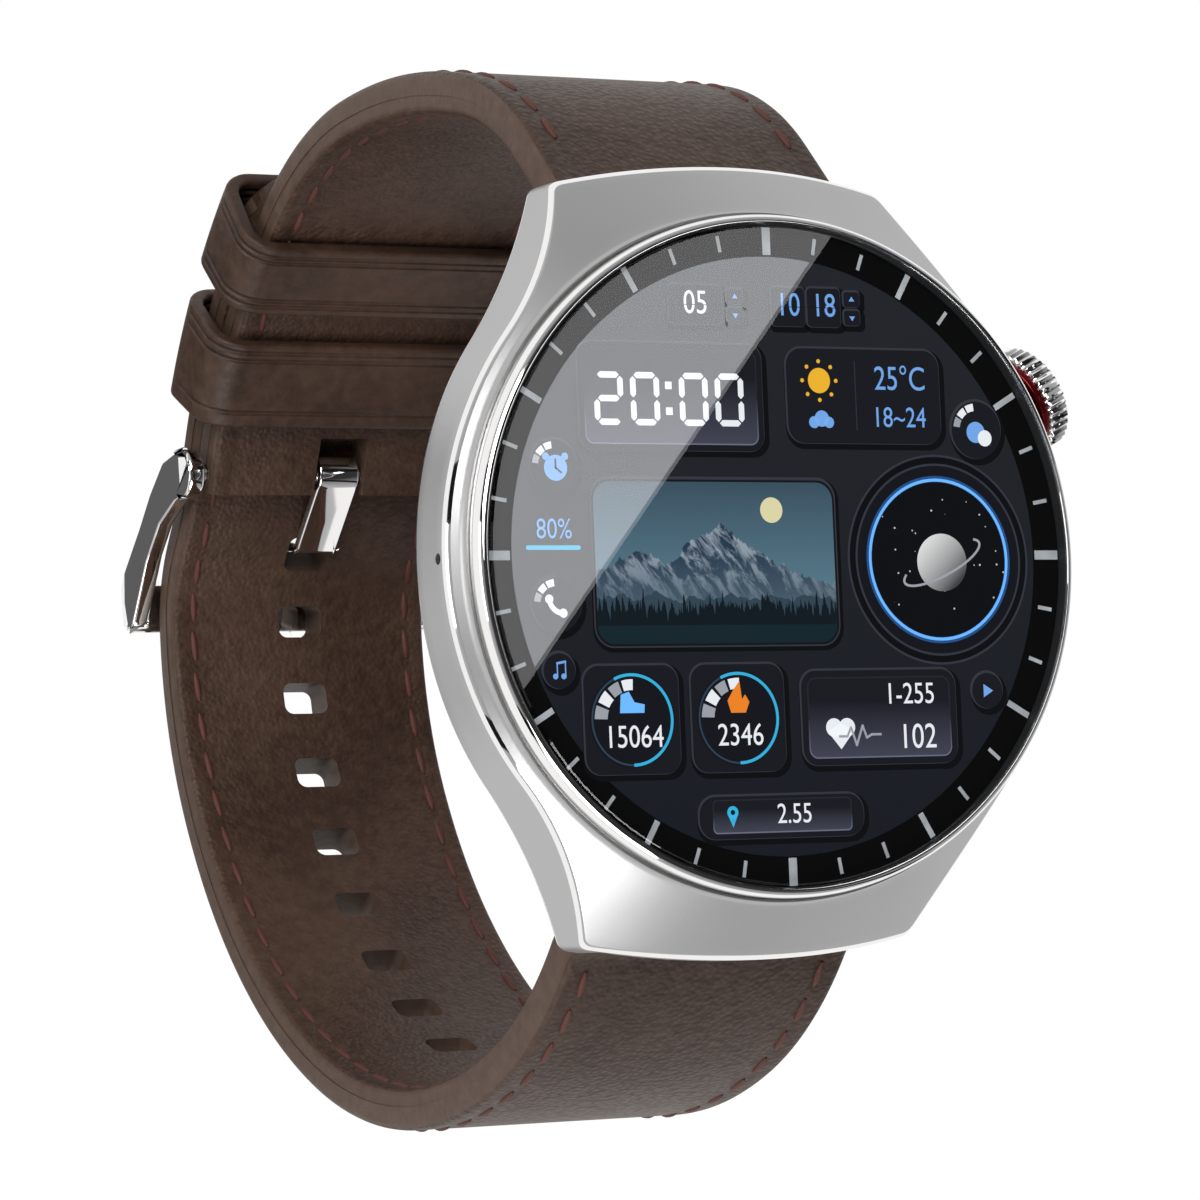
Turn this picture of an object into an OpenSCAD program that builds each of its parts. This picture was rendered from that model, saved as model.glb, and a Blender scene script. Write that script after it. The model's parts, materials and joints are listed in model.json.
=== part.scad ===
// Round smartwatch on a closed leather strap.
// The origin is the centre of the flat case back. +Z leaves the dial, +Y is 12 o'clock, +X is 3 o'clock.

/* [Case] */
// Radius of the round body
case_r = 23.9; // [23.7:0.1:24.1]
// Height from the case back to the top of the glass
case_h = 12; // [12:0.1:12.4]
// Radius of the hollow flanks that run out into the lugs
flank_r = 45; // [40:1:50]
// Angle from 3 o'clock where a flank leaves the round body
flank_angle = 38; // [37:0.5:39]
// Distance from the centre to the lug ends
lug_end = 25.5; // [25.3:0.1:25.7]
// How far the end of the case bulges between the lugs
end_bulge = 1.2; // [0.8:0.1:1.4]
// Radius of the inner cavity
cavity_r = 19.4; // [19.3:0.05:19.5]

/* [Dial] */
// Radius of the cover glass
glass_r = 21.95; // [21.9:0.01:21.97]
// Radius of the display
display_r = 19.93; // [19.8:0.01:19.94]
// Outer radius of the polished bezel
bezel_r = 22.75; // [22.6:0.05:22.8]

/* [Strap] */
// Width of the strap
strap_w = 22; // [21:0.5:22]
// Thickness of the strap, leather and lining together
strap_t = 3; // [2.8:0.1:3]
// Thickness of the outer leather
leather_t = 1.7; // [1.2:0.1:2]
// Distance of the spring bars from the centre of the watch
bar_y = 23.8; // [23.7:0.1:23.9]
// Height of the spring bars above the case back
bar_z = 2.55; // [2.5:0.05:2.6]
// Distance between two holes
hole_pitch = 6.55; // [6.3:0.05:6.6]
// Number of holes in the long strap
hole_count = 9; // [5:1:9]

/* [Controls] */
// Direction of the crown, from 3 o'clock towards 12 o'clock
crown_angle = 26; // [26:0.5:28]
// Direction of the side button
button_angle = -30; // [-31:0.5:-29]
// Height of both controls above the case back
control_z = 6.2; // [6.1:0.1:6.3]
// Radius of the crown
crown_r = 3.7; // [3.4:0.1:3.8]
// Number of flutes on the crown
flute_count = 36; // [24:2:36]

/* [Hidden] */
$fn = 64;

// Heights of the layers, from the case back up
cover_top = 1.4;
board_z = 7.4;
board_top = 8.1;
frame_z = 9.2;
frame_top = 9.9;
seat_z = 10.6;
ring_z = 10.85;
glass_z = 11;
skirt_z = 4.9;
mic_z = 8.3;

// Spring bars, their tips and the pocket that each strap end sits in
ear_gap = strap_w + 0.3;
bar_tube_r = 0.9;
tip_r = 0.5;
tip_reach = 12.2;
tip_travel = 1.3;
eye_r = 0.98;
open_eye_r = 1.05;
eye_outer_r = strap_t / 2 + 0.04;

// Strap stretches as [length, turn in degrees]; a turn of 0 is straight
function bend(r, turn) = [abs(r * turn) * PI / 180, turn];
upper_run = [[7, 0], bend(20.8, -31), bend(55.5, -20)];
upper_end_run = [bend(26.7, -32), bend(43, -30)];
lower_run = [[2.5, 0], bend(4, -37), bend(28, 27), bend(38, 23)];
tail_run = [bend(38, 22), bend(42, 42), bend(32, 26), bend(10, 36), [2.29, 0], bend(15, -15.68),
    bend(43 + strap_t + 0.1, 31.68), bend(26.7 + strap_t + 0.1, 4)];
upper_start = [[bar_y, bar_z], -45];
lower_start = [[-bar_y, bar_z], -103];
flex_gap = 0.3;

// Position and heading after one stretch, after a whole run, and at a distance along a run
function after(f, s) = [s[1] == 0 ? f[0] + s[0] * [cos(f[1]), sin(f[1])]
    : f[0] + s[0] * 180 / (PI * s[1]) * [sin(f[1] + s[1]) - sin(f[1]), cos(f[1]) - cos(f[1] + s[1])],
    f[1] + s[1]];
function along(f, run, i) = i == 0 ? f : after(along(f, run, i - 1), run[i - 1]);
function run_end(f, run) = along(f, run, len(run));
function part_of(s, k) = [s[0] * k, s[1] * k];
function at(f, run, d, i = 0) = d <= run[i][0] || i == len(run) - 1 ? after(f, part_of(run[i], d / run[i][0]))
    : at(after(f, run[i]), run, d - run[i][0], i + 1);
function left(f, o) = f[0] + o * [-sin(f[1]), cos(f[1])];
function run_length(run, i = 0) = i == len(run) ? 0 : run[i][0] + run_length(run, i + 1);
function head_cut(run, d) = [for (i = [0:len(run) - 1]) i == 0 ? part_of(run[0], 1 - d / run[0][0]) : run[i]];
function tail_cut(run, d) = [for (i = [0:len(run) - 1])
    i == len(run) - 1 ? part_of(run[i], 1 - d / run[i][0]) : run[i]];
function edge(f, run, o) = [for (i = [0:len(run) - 1])
    let (g = along(f, run, i), n = run[i][1] == 0 ? 1 : ceil(abs(run[i][1]) / 4))
    each [for (k = [0:i == len(run) - 1 ? n : n - 1]) left(after(g, part_of(run[i], k / n)), o)]];
function reversed(a) = [for (i = [len(a) - 1:-1:0]) a[i]];
function band(f, run, o1, o2) = concat(edge(f, run, o1), reversed(edge(f, run, o2)));
function arc_points(c, r, a, b, n) = [for (i = [0:n]) c + r * [cos(a + (b - a) * i / n), sin(a + (b - a) * i / n)]];

// The flex lines of the two straps, the buckle bar and the centre that the overlap curves about
upper_flex = run_end(upper_start, upper_run);
lower_flex = run_end(lower_start, lower_run);
buckle_at = run_end(upper_flex, upper_end_run);
overlap_c = left(buckle_at, -43);
pin_distance = run_length([for (i = [0:3]) tail_run[i]]) + 0.75;
pin_hole = at(lower_flex, tail_run, pin_distance);
end_bar_dir = 9;
end_bar_at = left(along(lower_flex, tail_run, 3), 10) + 12.7 * [sin(end_bar_dir), -cos(end_bar_dir)];

// A 2D outline in (Y, Z), carried across the watch along X
module across(w, x = 0) {
    translate([x, 0, 0])
        rotate([90, 0, 90])
            linear_extrude(w, center = true)
                children();
}

// A profile of (radius, height) turned about the watch's axis
module turned(points) {
    rotate_extrude($fn = 180)
        polygon(points);
}

// A shape drawn along +Z, laid on the axis of the crown or the button
module on_axis(angle) {
    rotate([0, 0, angle])
        translate([0, 0, control_z])
            rotate([0, 90, 0])
                children();
}

module ring_cut(r1, r2, z1, z2) {
    translate([0, 0, z1])
        difference() {
            cylinder(r = r2, h = z2 - z1);
            translate([0, 0, -1])
                cylinder(r = r1, h = z2 - z1 + 2);
        }
}

module round_washer(major, minor) {
    rotate_extrude()
        translate([major, 0])
            circle(r = minor, $fn = 24);
}

module box(x1, x2, y1, y2, z1, z2) {
    translate([x1, y1, z1])
        cube([x2 - x1, y2 - y1, z2 - z1]);
}

// ---- Case ----

// One quarter of the case's outline: the round body, the hollow flank, then the end of the lugs
function case_quarter() =
    let (c = (case_r + flank_r) * [cos(flank_angle), sin(flank_angle)],
        corner_a = 180 + asin((c[1] - lug_end) / flank_r),
        corner_x = c[0] + flank_r * cos(corner_a),
        end_r = (pow(corner_x, 2) + pow(end_bulge, 2)) / (2 * end_bulge),
        end_c = [0, lug_end + end_bulge - end_r],
        end_a = asin(corner_x / end_r))
    concat(arc_points([0, 0], case_r, 0, flank_angle, 19),
        [for (i = [1:8]) c + flank_r * [for (a = [180 + flank_angle + (corner_a - 180 - flank_angle) * i / 8])
            each [cos(a), sin(a)]]],
        [for (i = [1:6]) end_c + end_r * [sin(end_a * (1 - i / 6)), cos(end_a * (1 - i / 6))]]);

module case_outline() {
    quarter = case_quarter();
    n = len(quarter);
    half = concat(quarter, [for (i = [n - 2:-1:0]) [-quarter[i][0], quarter[i][1]]]);
    polygon(concat(half, [for (i = [len(half) - 2:-1:1]) [half[i][0], -half[i][1]]]));
}

screw_circle_r = 18;
module at_screws() {
    for (a = [45:90:315])
        rotate([0, 0, a])
            translate([screw_circle_r, 0, 0])
                children();
}

module mid_case() {
    belly_rise = 3.9;
    belly_r = (pow(lug_end, 2) + pow(belly_rise, 2)) / (2 * belly_rise);
    cove = arc_points([bezel_r + 1.1, case_h - 1.45], 0.9, 180, 224, 6);
    slope_end = [29.5, cove[6][1] - 1.035 * (29.5 - cove[6][0])];
    color("silver")
        difference() {
            union() {
                intersection() {
                    difference() {
                        linear_extrude(case_h)
                            case_outline();
                        translate([0, 0, skirt_z - belly_r])
                            rotate([0, 90, 0])
                                cylinder(r = belly_r, h = 80, center = true, $fn = 180);
                    }
                    turned(concat([[0, 0], [29.5, 0]], [slope_end], reversed(cove), [[0, case_h - 1.45]]));
                }
                turned([[0, 0.7], [21.2, 0.7], [case_r - 0.1, skirt_z + 0.13], [case_r - 0.1, skirt_z + 0.9],
                    [0, skirt_z + 0.9]]);
            }
            difference() {
                turned([[0, 0], [20.3, 0], [20.3, cover_top], [cavity_r, cover_top], [cavity_r, frame_z],
                    [20.4, frame_z], [20.4, seat_z], [22.05, seat_z], [22.05, frame_top], [bezel_r, frame_top],
                    [bezel_r, 13], [0, 13]]);
                at_screws()
                    translate([0, 0, cover_top])
                        cylinder(r = 1.7, h = 3);
            }
            at_screws()
                cylinder(r = 0.8, h = 4);
            for (s = [-1, 1])
                scale([1, s, 1]) {
                    across(ear_gap)
                        polygon([[22.05, -1], [22.05, 3.2], [23, 4.3], [29, 4.3], [29, -1]]);
                    translate([0, bar_y, bar_z])
                        rotate([0, 90, 0])
                            cylinder(r = tip_r + 0.05, h = 2 * tip_reach + 0.2, center = true);
                }
            translate([-19, 0, mic_z])
                rotate([0, -90, 0])
                    cylinder(r = 0.37, h = 6);
            translate([-case_r + 0.12, 0, mic_z])
                rotate([0, -90, 0])
                    cylinder(r1 = 0.37, r2 = 0.6, h = 0.23);
            on_axis(crown_angle)
                translate([0, 0, 17])
                    cylinder(r = 1.5, h = 9);
            on_axis(button_angle) {
                translate([0, 0, 17])
                    cylinder(r = 0.92, h = 9);
                translate([0, 0, 22.4])
                    linear_extrude(4)
                        pill(4.1, 1.4);
            }
        }
}

module bezel_ring() {
    color("gainsboro")
        turned([[22.05, frame_top], [bezel_r, frame_top], [bezel_r, case_h - 1], [bezel_r - 0.12, case_h - 0.66],
            [bezel_r - 0.33, case_h - 0.3], [bezel_r - 0.52, case_h - 0.06], [22.12, case_h], [22.05, case_h - 0.05]]);
}

module cover_glass() {
    color([0.8, 0.85, 0.9, 0.3])
        turned([[0, glass_z], [glass_r, glass_z], [glass_r, case_h - 0.12], [glass_r - 0.12, case_h], [0, case_h]]);
}

module glass_gasket() {
    color("black")
        turned([[20.5, seat_z], [22.05, seat_z], [22.05, 11.85], [22, 11.85], [22, ring_z], [20.5, ring_z]]);
}

// Thirty-six marks; each third one is long, and the four at the quarters are wide
module tick_plan() {
    for (i = [0:35])
        rotate([0, 0, 10 * i]) {
            long = i % 3 == 0;
            w = i % 9 == 0 ? 0.62 : long ? 0.42 : 0.26;
            translate([long ? 20.05 : 20.45, -w / 2])
                square([long ? 1.85 : 1.1, w]);
        }
}

module dial_ring() {
    color([0.05, 0.05, 0.055])
        difference() {
            ring_cut(display_r + 0.02, glass_r, ring_z, glass_z);
            translate([0, 0, glass_z - 0.06])
                linear_extrude(1)
                    tick_plan();
        }
}

module tick_marks() {
    color("lightgray")
        translate([0, 0, glass_z - 0.06])
            linear_extrude(0.06)
                tick_plan();
}

// ---- Inside the case ----

module display_panel() {
    color([0.1, 0.12, 0.15])
        translate([0, 0, frame_top + 0.05])
            cylinder(r = display_r, h = glass_z - frame_top - 0.05);
}

module display_flex() {
    color("orange") {
        box(-4, 4, -17.3, -17.15, board_top, frame_top + 0.05);
        box(-4, 4, -17.15, -13, board_top, board_top + 0.15);
    }
}

module inner_frame() {
    color("dimgray")
        difference() {
            union() {
                translate([0, 0, frame_z])
                    cylinder(r = 20.3, h = frame_top - frame_z);
                for (a = [70, 160, 250, 340])
                    rotate([0, 0, a])
                        translate([16, 0, board_top])
                            cylinder(r = 1.1, h = frame_z - board_top + 0.1);
            }
            box(-4.6, 4.6, -17.9, -16.7, 0, 12);
            translate([0, 0, frame_z - 1])
                cylinder(r = 9, h = 3);
        }
}

module antenna() {
    color("goldenrod")
        translate([0, 0, frame_top + 0.05])
            rotate([0, 0, 120])
                rotate_extrude(angle = 300)
                    translate([20, 0])
                        square([0.3, 0.5]);
}

module logic_board() {
    color("darkgreen")
        difference() {
            translate([0, 0, board_z])
                cylinder(r = 17.8, h = board_top - board_z);
            for (a = [10, 130, 250])
                rotate([0, 0, a])
                    translate([17.8, 0, 0])
                        cylinder(r = 1.2, h = 20);
        }
}

module shield_can() {
    color("lightsteelblue")
        box(-7, 7, -6.5, 6.5, board_top, frame_z - 0.1);
}

module board_chips() {
    color([0.15, 0.15, 0.16]) {
        box(-8, -3, -4, 2, 6.95, board_z);
        box(0, 4, -6, -2, 6.95, board_z);
        box(2, 8, 2, 6, 6.95, board_z);
        box(-3, 1, 7, 10, board_top, 8.8);
    }
}

module battery() {
    color([0.2, 0.22, 0.26])
        hull()
            for (x = [-9, 9], y = [-10.4, 10.4])
                translate([x, y, 2.3])
                    cylinder(r = 1.2, h = 4.5, $fn = 32);
}

module speaker_module() {
    color([0.12, 0.12, 0.13])
        box(-16.2, -10.8, 1, 10.2, 2.3, 5.5);
}

module vibration_motor() {
    color("silver")
        translate([-14.2, -5.4, 2.3])
            cylinder(r = 3.7, h = 2.8);
}

module microphone() {
    color("gold")
        box(-17.7, -14.4, -1.4, 1.4, board_top, 9.1);
}

module mic_boot() {
    color([0.1, 0.1, 0.1])
        translate([-17.85, 0, mic_z])
            rotate([0, -90, 0])
                difference() {
                    cylinder(r = 0.75, h = 1.5);
                    translate([0, 0, -1])
                        cylinder(r = 0.37, h = 4);
                }
}

// ---- Case back ----

module rear_cover() {
    color([0.13, 0.13, 0.14])
        difference() {
            turned([[7.2, 1], [8.35, 1], [8.35, 0], [14, 0], [14.5, 0.3], [19.9, 0.3], [20.2, 0.6],
                [20.2, cover_top], [20.05, cover_top], [20.05, 1], [19.55, 1], [19.55, cover_top], [7.2, cover_top]]);
            at_screws() {
                cylinder(r = 0.9, h = 3);
                translate([0, 0, -0.1])
                    cylinder(r = 1.45, h = 1);
            }
            for (y = [3.5, 5.6, 7.7])
                translate([-15.2, y, -1])
                    cylinder(r = 0.45, h = 4);
        }
}

module rear_seal() {
    color([0.05, 0.05, 0.05])
        translate([0, 0, 1.2])
            round_washer(19.8, 0.19);
}

module case_screws() {
    color("gray")
        at_screws()
            difference() {
                union() {
                    translate([0, 0, 0.4])
                        cylinder(r = 1.35, h = 0.5);
                    translate([0, 0, 0.9])
                        cylinder(r = 0.8, h = 2.9);
                }
                translate([0, 0, 0])
                    cylinder(r = 0.55, h = 0.7, $fn = 6);
            }
}

module sensor_lens() {
    color([0.05, 0.05, 0.06])
        cylinder(r = 8.3, h = 1);
}

module sensor_board() {
    color("darkgreen")
        translate([0, 0, cover_top + 0.05])
            cylinder(r = 7, h = 0.5);
}

module sensor_leds() {
    color("palegreen") {
        for (a = [0:90:270])
            rotate([0, 0, a])
                box(4, 5.6, -0.8, 0.8, 1.05, cover_top + 0.05);
        box(-1.4, 1.4, -1.4, 1.4, 1.05, cover_top + 0.05);
    }
}

module charging_coil() {
    color("chocolate")
        ring_cut(8.4, 13.5, cover_top + 0.05, 1.8);
}

module ferrite_sheet() {
    color([0.25, 0.25, 0.27])
        ring_cut(8.2, 14, 1.8, 2.1);
}

// ---- Crown ----

crown_face = 24.35;
module crown_knob() {
    color("gainsboro")
        on_axis(crown_angle)
            difference() {
                rotate_extrude($fn = 120)
                    polygon([[0, crown_face + 0.5], [crown_r - 0.2, crown_face + 0.5], [crown_r, crown_face + 0.7],
                        [crown_r, crown_face + 1.9], [crown_r - 0.25, crown_face + 2.22],
                        [crown_r - 0.7, crown_face + 2.4], [0, crown_face + 2.5]]);
                translate([0, 0, crown_face - 1])
                    cylinder(r = 1, h = 2.3);
                for (i = [0:flute_count - 1])
                    rotate([0, 0, 360 * i / flute_count])
                        translate([crown_r + 0.13, 0, crown_face])
                            cylinder(r = 0.3, h = 3.4, $fn = 16);
            }
}

module crown_red_ring() {
    color("darkred")
        on_axis(crown_angle)
            translate([0, 0, crown_face])
                difference() {
                    cylinder(r = crown_r - 0.35, h = 0.5);
                    translate([0, 0, -1])
                        cylinder(r = 1.7, h = 3);
                }
}

module crown_stem() {
    color("silver")
        on_axis(crown_angle)
            rotate_extrude()
                polygon([[0, 18.4], [1.6, 18.4], [1.6, 19], [0.98, 19], [0.98, 22], [0.7, 22], [0.7, 22.5],
                    [0.98, 22.5], [0.98, crown_face + 1.3], [0, crown_face + 1.3]]);
}

module crown_seal() {
    color([0.05, 0.05, 0.05])
        on_axis(crown_angle)
            translate([0, 0, 22.25])
                round_washer(0.87, 0.15);
}

module crown_tube() {
    color("gray")
        on_axis(crown_angle)
            translate([0, 0, 19.8])
                difference() {
                    cylinder(r = 1.5, h = 4.4);
                    translate([0, 0, -1])
                        cylinder(r = 1.04, h = 7);
                }
}

module crown_thrust_cap() {
    color("ivory")
        on_axis(crown_angle) {
            translate([0, 0, 17.9])
                cylinder(r = 1.1, h = 0.45);
            translate([0, 0, 16.9])
                cylinder(r = 0.5, h = 1.2);
        }
}

module crown_switch() {
    color([0.15, 0.15, 0.16])
        on_axis(crown_angle)
            difference() {
                translate([-1.15, -2, 14.4])
                    cube([2.3, 4, 2.9]);
                translate([0, 0, 16.3])
                    cylinder(r = 0.6, h = 4);
            }
}

// ---- Side button ----

module pill(half_length, r) {
    for (s = [-1, 1])
        translate([0, s * (half_length - r)])
            circle(r = r);
    square([2 * r, 2 * (half_length - r)], center = true);
}

module side_button() {
    color("silver")
        on_axis(button_angle)
            difference() {
                union() {
                    intersection() {
                        translate([0, 0, 22.9])
                            linear_extrude(3)
                                pill(4, 1.3);
                        rotate([0, 90, 0])
                            cylinder(r = case_r + 0.5, h = 10, center = true, $fn = 180);
                    }
                    translate([0, 0, 18.9])
                        cylinder(r = 0.85, h = 4.2);
                }
                ring_cut(0.6, 2, 20.4, 20.9);
            }
}

module button_seal() {
    color([0.05, 0.05, 0.05])
        on_axis(button_angle)
            translate([0, 0, 20.65])
                round_washer(0.75, 0.14);
}

module button_switch() {
    color([0.15, 0.15, 0.16])
        on_axis(button_angle)
            translate([-1.15, -2, 15.4])
                cube([2.3, 4, 3.05]);
}

// ---- Spring bars ----

// side is 1 at 12 o'clock and -1 at 6 o'clock
module on_bar(side) {
    translate([0, side * bar_y, bar_z])
        rotate([0, 90, 0])
            children();
}

module bar_tube(side) {
    color("silver")
        on_bar(side)
            difference() {
                union() {
                    translate([0, 0, -10.6])
                        cylinder(r = bar_tube_r, h = 21.2);
                    translate([0, 0, -tip_reach])
                        cylinder(r = tip_r, h = 2);
                }
                translate([0, 0, -7])
                    cylinder(r = tip_r + 0.05, h = 20);
                translate([0, -0.4, 5.7])
                    cube([2, 0.8, 2.3]);
            }
}

module bar_spring(side) {
    color("gray")
        on_bar(side)
            difference() {
                translate([0, 0, -7])
                    cylinder(r = tip_r, h = 12);
                translate([0, 0, -8])
                    cylinder(r = 0.2, h = 14);
            }
}

// The sliding tip and the lever that pulls it; the lever points out of the strap's inner face
module release_tip(side) {
    color("silver")
        on_bar(side) {
            translate([0, 0, 6.6])
                cylinder(r = tip_r, h = tip_reach - 6.6);
            translate([0, 0, 7.4])
                rotate([0, 90, 0])
                    cylinder(r = 0.3, h = 1.9);
        }
}

module upper_bar_tube() {
    bar_tube(1);
}

module upper_bar_spring() {
    bar_spring(1);
}

module upper_release_tip() {
    release_tip(1);
}

module lower_bar_tube() {
    bar_tube(-1);
}

module lower_bar_spring() {
    bar_spring(-1);
}

module lower_release_tip() {
    release_tip(-1);
}

// ---- Strap ----

// Where the leather meets the lining, measured from the strap's middle towards the wrist
split = strap_t / 2 - leather_t;

// The notch that leaves room for the release lever and its travel
module lever_notch(side) {
    translate([4.9, side * bar_y - 1.2, bar_z - 4])
        cube([3.6, 2.4, 4]);
}

// The leather that wraps round a spring bar and runs along the outside of the strap
module strap_base(f, run, outer, bore) {
    color([0.29, 0.22, 0.18])
        difference() {
            across(strap_w)
                difference() {
                    union() {
                        translate(f[0])
                            circle(r = eye_outer_r);
                        polygon(band(f, tail_cut(run, flex_gap / 2), outer * strap_t / 2, outer * split));
                    }
                    translate(f[0])
                        circle(r = bore);
                }
            children();
        }
}

// The lining starts clear of the bar and is a little narrower at the bar's end
module strap_base_lining(f, run, outer) {
    inset = 1.6;
    color([0.25, 0.17, 0.14])
        difference() {
            across(strap_w)
                polygon(band(at(f, run, inset), tail_cut(head_cut(run, inset), flex_gap / 2),
                    outer * split, -outer * strap_t / 2));
            children();
        }
}

module upper_strap_leather() {
    strap_base(upper_start, upper_run, 1, eye_r)
        lever_notch(1);
}

module upper_strap_lining() {
    strap_base_lining(upper_start, upper_run, 1)
        lever_notch(1);
}

module lower_strap_leather() {
    strap_base(lower_start, lower_run, -1, open_eye_r)
        lever_notch(-1);
}

module lower_strap_lining() {
    strap_base_lining(lower_start, lower_run, -1)
        lever_notch(-1);
}

// The slot in the folded end that the tang swings in
module tang_slot() {
    translate([0, buckle_at[0][0], buckle_at[0][1]])
        cube([4, 5.6, 5.6], center = true);
}

module upper_end_leather() {
    f = at(upper_flex, upper_end_run, flex_gap / 2);
    run = head_cut(upper_end_run, flex_gap / 2);
    color([0.29, 0.22, 0.18])
        difference() {
            across(strap_w)
                difference() {
                    union() {
                        polygon(band(f, run, strap_t / 2, split));
                        translate(buckle_at[0])
                            circle(r = eye_outer_r);
                    }
                    translate(buckle_at[0])
                        circle(r = 0.78);
                }
            tang_slot();
        }
}

module upper_end_lining() {
    f = at(upper_flex, upper_end_run, flex_gap / 2);
    run = head_cut(upper_end_run, flex_gap / 2);
    color([0.25, 0.17, 0.14])
        difference() {
            across(strap_w)
                difference() {
                    polygon(band(f, run, split, -strap_t / 2));
                    translate(buckle_at[0])
                        rotate(buckle_at[1])
                            translate([-1.6, -3])
                                square([6, 6]);
                }
            tang_slot();
        }
}

// Holes run square through the strap; the one the tang is in is stretched a little
module strap_holes() {
    for (i = [0:hole_count - 1]) {
        f = at(lower_flex, tail_run, pin_distance - i * hole_pitch);
        length = i == 0 ? 2.7 : 2.1;
        translate([0, f[0][0], f[0][1]])
            rotate([f[1], 0, 0])
                cube([3.7, length, 5], center = true);
    }
}

// The last part of the tail narrows to its tip
module tail_taper() {
    tip = run_end(lower_flex, tail_run);
    translate([0, tip[0][0], tip[0][1]])
        rotate([tip[1], 0, 0])
            for (s = [-1, 1])
                translate([s * strap_w / 2, 0.5, 0])
                    rotate([0, 0, s * 35])
                        cube([5, 12, 12], center = true);
}

module tail_leather() {
    f = at(lower_flex, tail_run, flex_gap / 2);
    run = head_cut(tail_run, flex_gap / 2);
    color([0.29, 0.22, 0.18])
        difference() {
            across(strap_w)
                polygon(band(f, run, -strap_t / 2, -split));
            strap_holes();
            tail_taper();
        }
}

module tail_lining() {
    f = at(lower_flex, tail_run, flex_gap / 2);
    run = head_cut(tail_run, flex_gap / 2);
    color([0.25, 0.17, 0.14])
        difference() {
            across(strap_w)
                polygon(band(f, run, -split, strap_t / 2));
            strap_holes();
            tail_taper();
        }
}

// A loop round both straps, between two angles about the centre of the overlap.
// The angles are strap headings: 22 at the buckle bar, growing towards 12 o'clock.
module keeper(from, to) {
    clear = 0.2;
    wall = 1.1;
    inner = 43 - strap_t / 2 - clear;
    outer = 46.1 + strap_t / 2 + clear;
    side = strap_w / 2 + 0.9;
    color([0.27, 0.2, 0.17])
        translate([0, overlap_c[0], overlap_c[1]])
            rotate([from - 90, 0, 0])
                rotate([90, 0, 90])
                    rotate_extrude(angle = to - from, $fn = 180)
                        translate([inner, -side])
                            difference() {
                                soft_box([outer - inner, 2 * side], 1.5, wall);
                                soft_box([outer - inner, 2 * side], 1.5, 0);
                            }
}

// A rectangle with round corners, grown by a wall
module soft_box(size, r, wall) {
    polygon(concat(arc_points([r, r], r + wall, 180, 270, 8), arc_points([size[0] - r, r], r + wall, 270, 360, 8),
        arc_points([size[0] - r, size[1] - r], r + wall, 0, 90, 8), arc_points([r, size[1] - r], r + wall, 90, 180, 8)));
}

module fixed_keeper() {
    keeper(28.5, 38.5);
}

module free_keeper() {
    keeper(42.5, 51.5);
}

// ---- Buckle ----

plate_in = 11.6;
plate_t = 1.4;
module buckle_frame() {
    e = buckle_at[0];
    b = end_bar_at;
    color("gainsboro")
        difference() {
            union() {
                for (s = [-1, 1])
                    across(plate_t, s * (plate_in + plate_t / 2)) {
                        translate(e)
                            circle(r = 2);
                        polygon([e + [-1.6, 1], e + [1.95, -0.2], e + [1.3, -3.4], e + [-0.9, -6.1],
                            e + [-3.4, -8.5], b + [2.6, -1.1], b + [1.9, -1.6], b + [-1.4, -1.3], b + [-1.9, -0.6],
                            b + [-1.7, 0.5], e + [-6.3, -7.4], e + [-3.5, -4.6], e + [-1.95, -1.4]]);
                    }
                across(2 * (plate_in + plate_t) - 0.2)
                    translate(b)
                        rotate(end_bar_dir)
                            square([3.5, 1.1], center = true);
            }
            translate([0, e[0], e[1]])
                rotate([0, 90, 0])
                    cylinder(r = 0.7, h = 2 * (plate_in + plate_t) - 0.4, center = true);
        }
}

module buckle_bar() {
    color("silver")
        translate([0, buckle_at[0][0], buckle_at[0][1]])
            rotate([0, 90, 0])
                cylinder(r = 0.7, h = 2 * (plate_in + plate_t) - 0.4, center = true);
}

// One flat link of the tang, with round ends
module link(a, b, t) {
    d = b - a;
    translate(a)
        rotate(atan2(d[1], d[0]))
            translate([0, -t / 2])
                square([norm(d), t]);
    translate(b)
        circle(r = t / 2, $fn = 32);
}

module buckle_tang() {
    t = 0.8;
    dive = pin_hole[1] - 115;
    d = [cos(dive), sin(dive)];
    e = buckle_at[0];
    over = pin_hole[0] - 2.5 * d;
    under = pin_hole[0] + 2.5 * d;
    across_bar = [sin(end_bar_dir), -cos(end_bar_dir)];
    rest_at = end_bar_at + (0.55 + 0.05 + t / 2) * across_bar;
    rest_dir = [cos(end_bar_dir), sin(end_bar_dir)];
    color("gainsboro")
        across(3.4)
            difference() {
                union() {
                    translate(e)
                        circle(r = 1.5);
                    link(e + [-0.75, 0.75], over, t);
                    link(over, under, t);
                    link(under, rest_at + 2.3 * rest_dir, t);
                    link(rest_at + 2.3 * rest_dir, rest_at - 1.6 * rest_dir, t);
                }
                translate(e)
                    circle(r = 0.78);
            }
}

mid_case();
bezel_ring();
cover_glass();
glass_gasket();
dial_ring();
tick_marks();
display_panel();
display_flex();
inner_frame();
antenna();
logic_board();
shield_can();
board_chips();
battery();
speaker_module();
vibration_motor();
microphone();
mic_boot();
rear_cover();
rear_seal();
case_screws();
sensor_lens();
sensor_board();
sensor_leds();
charging_coil();
ferrite_sheet();
crown_knob();
crown_red_ring();
crown_stem();
crown_seal();
crown_tube();
crown_thrust_cap();
crown_switch();
side_button();
button_seal();
button_switch();
upper_bar_tube();
upper_bar_spring();
upper_release_tip();
lower_bar_tube();
lower_bar_spring();
lower_release_tip();
upper_strap_leather();
upper_strap_lining();
upper_end_leather();
upper_end_lining();
lower_strap_leather();
lower_strap_lining();
tail_leather();
tail_lining();
fixed_keeper();
free_keeper();
buckle_frame();
buckle_bar();
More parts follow.
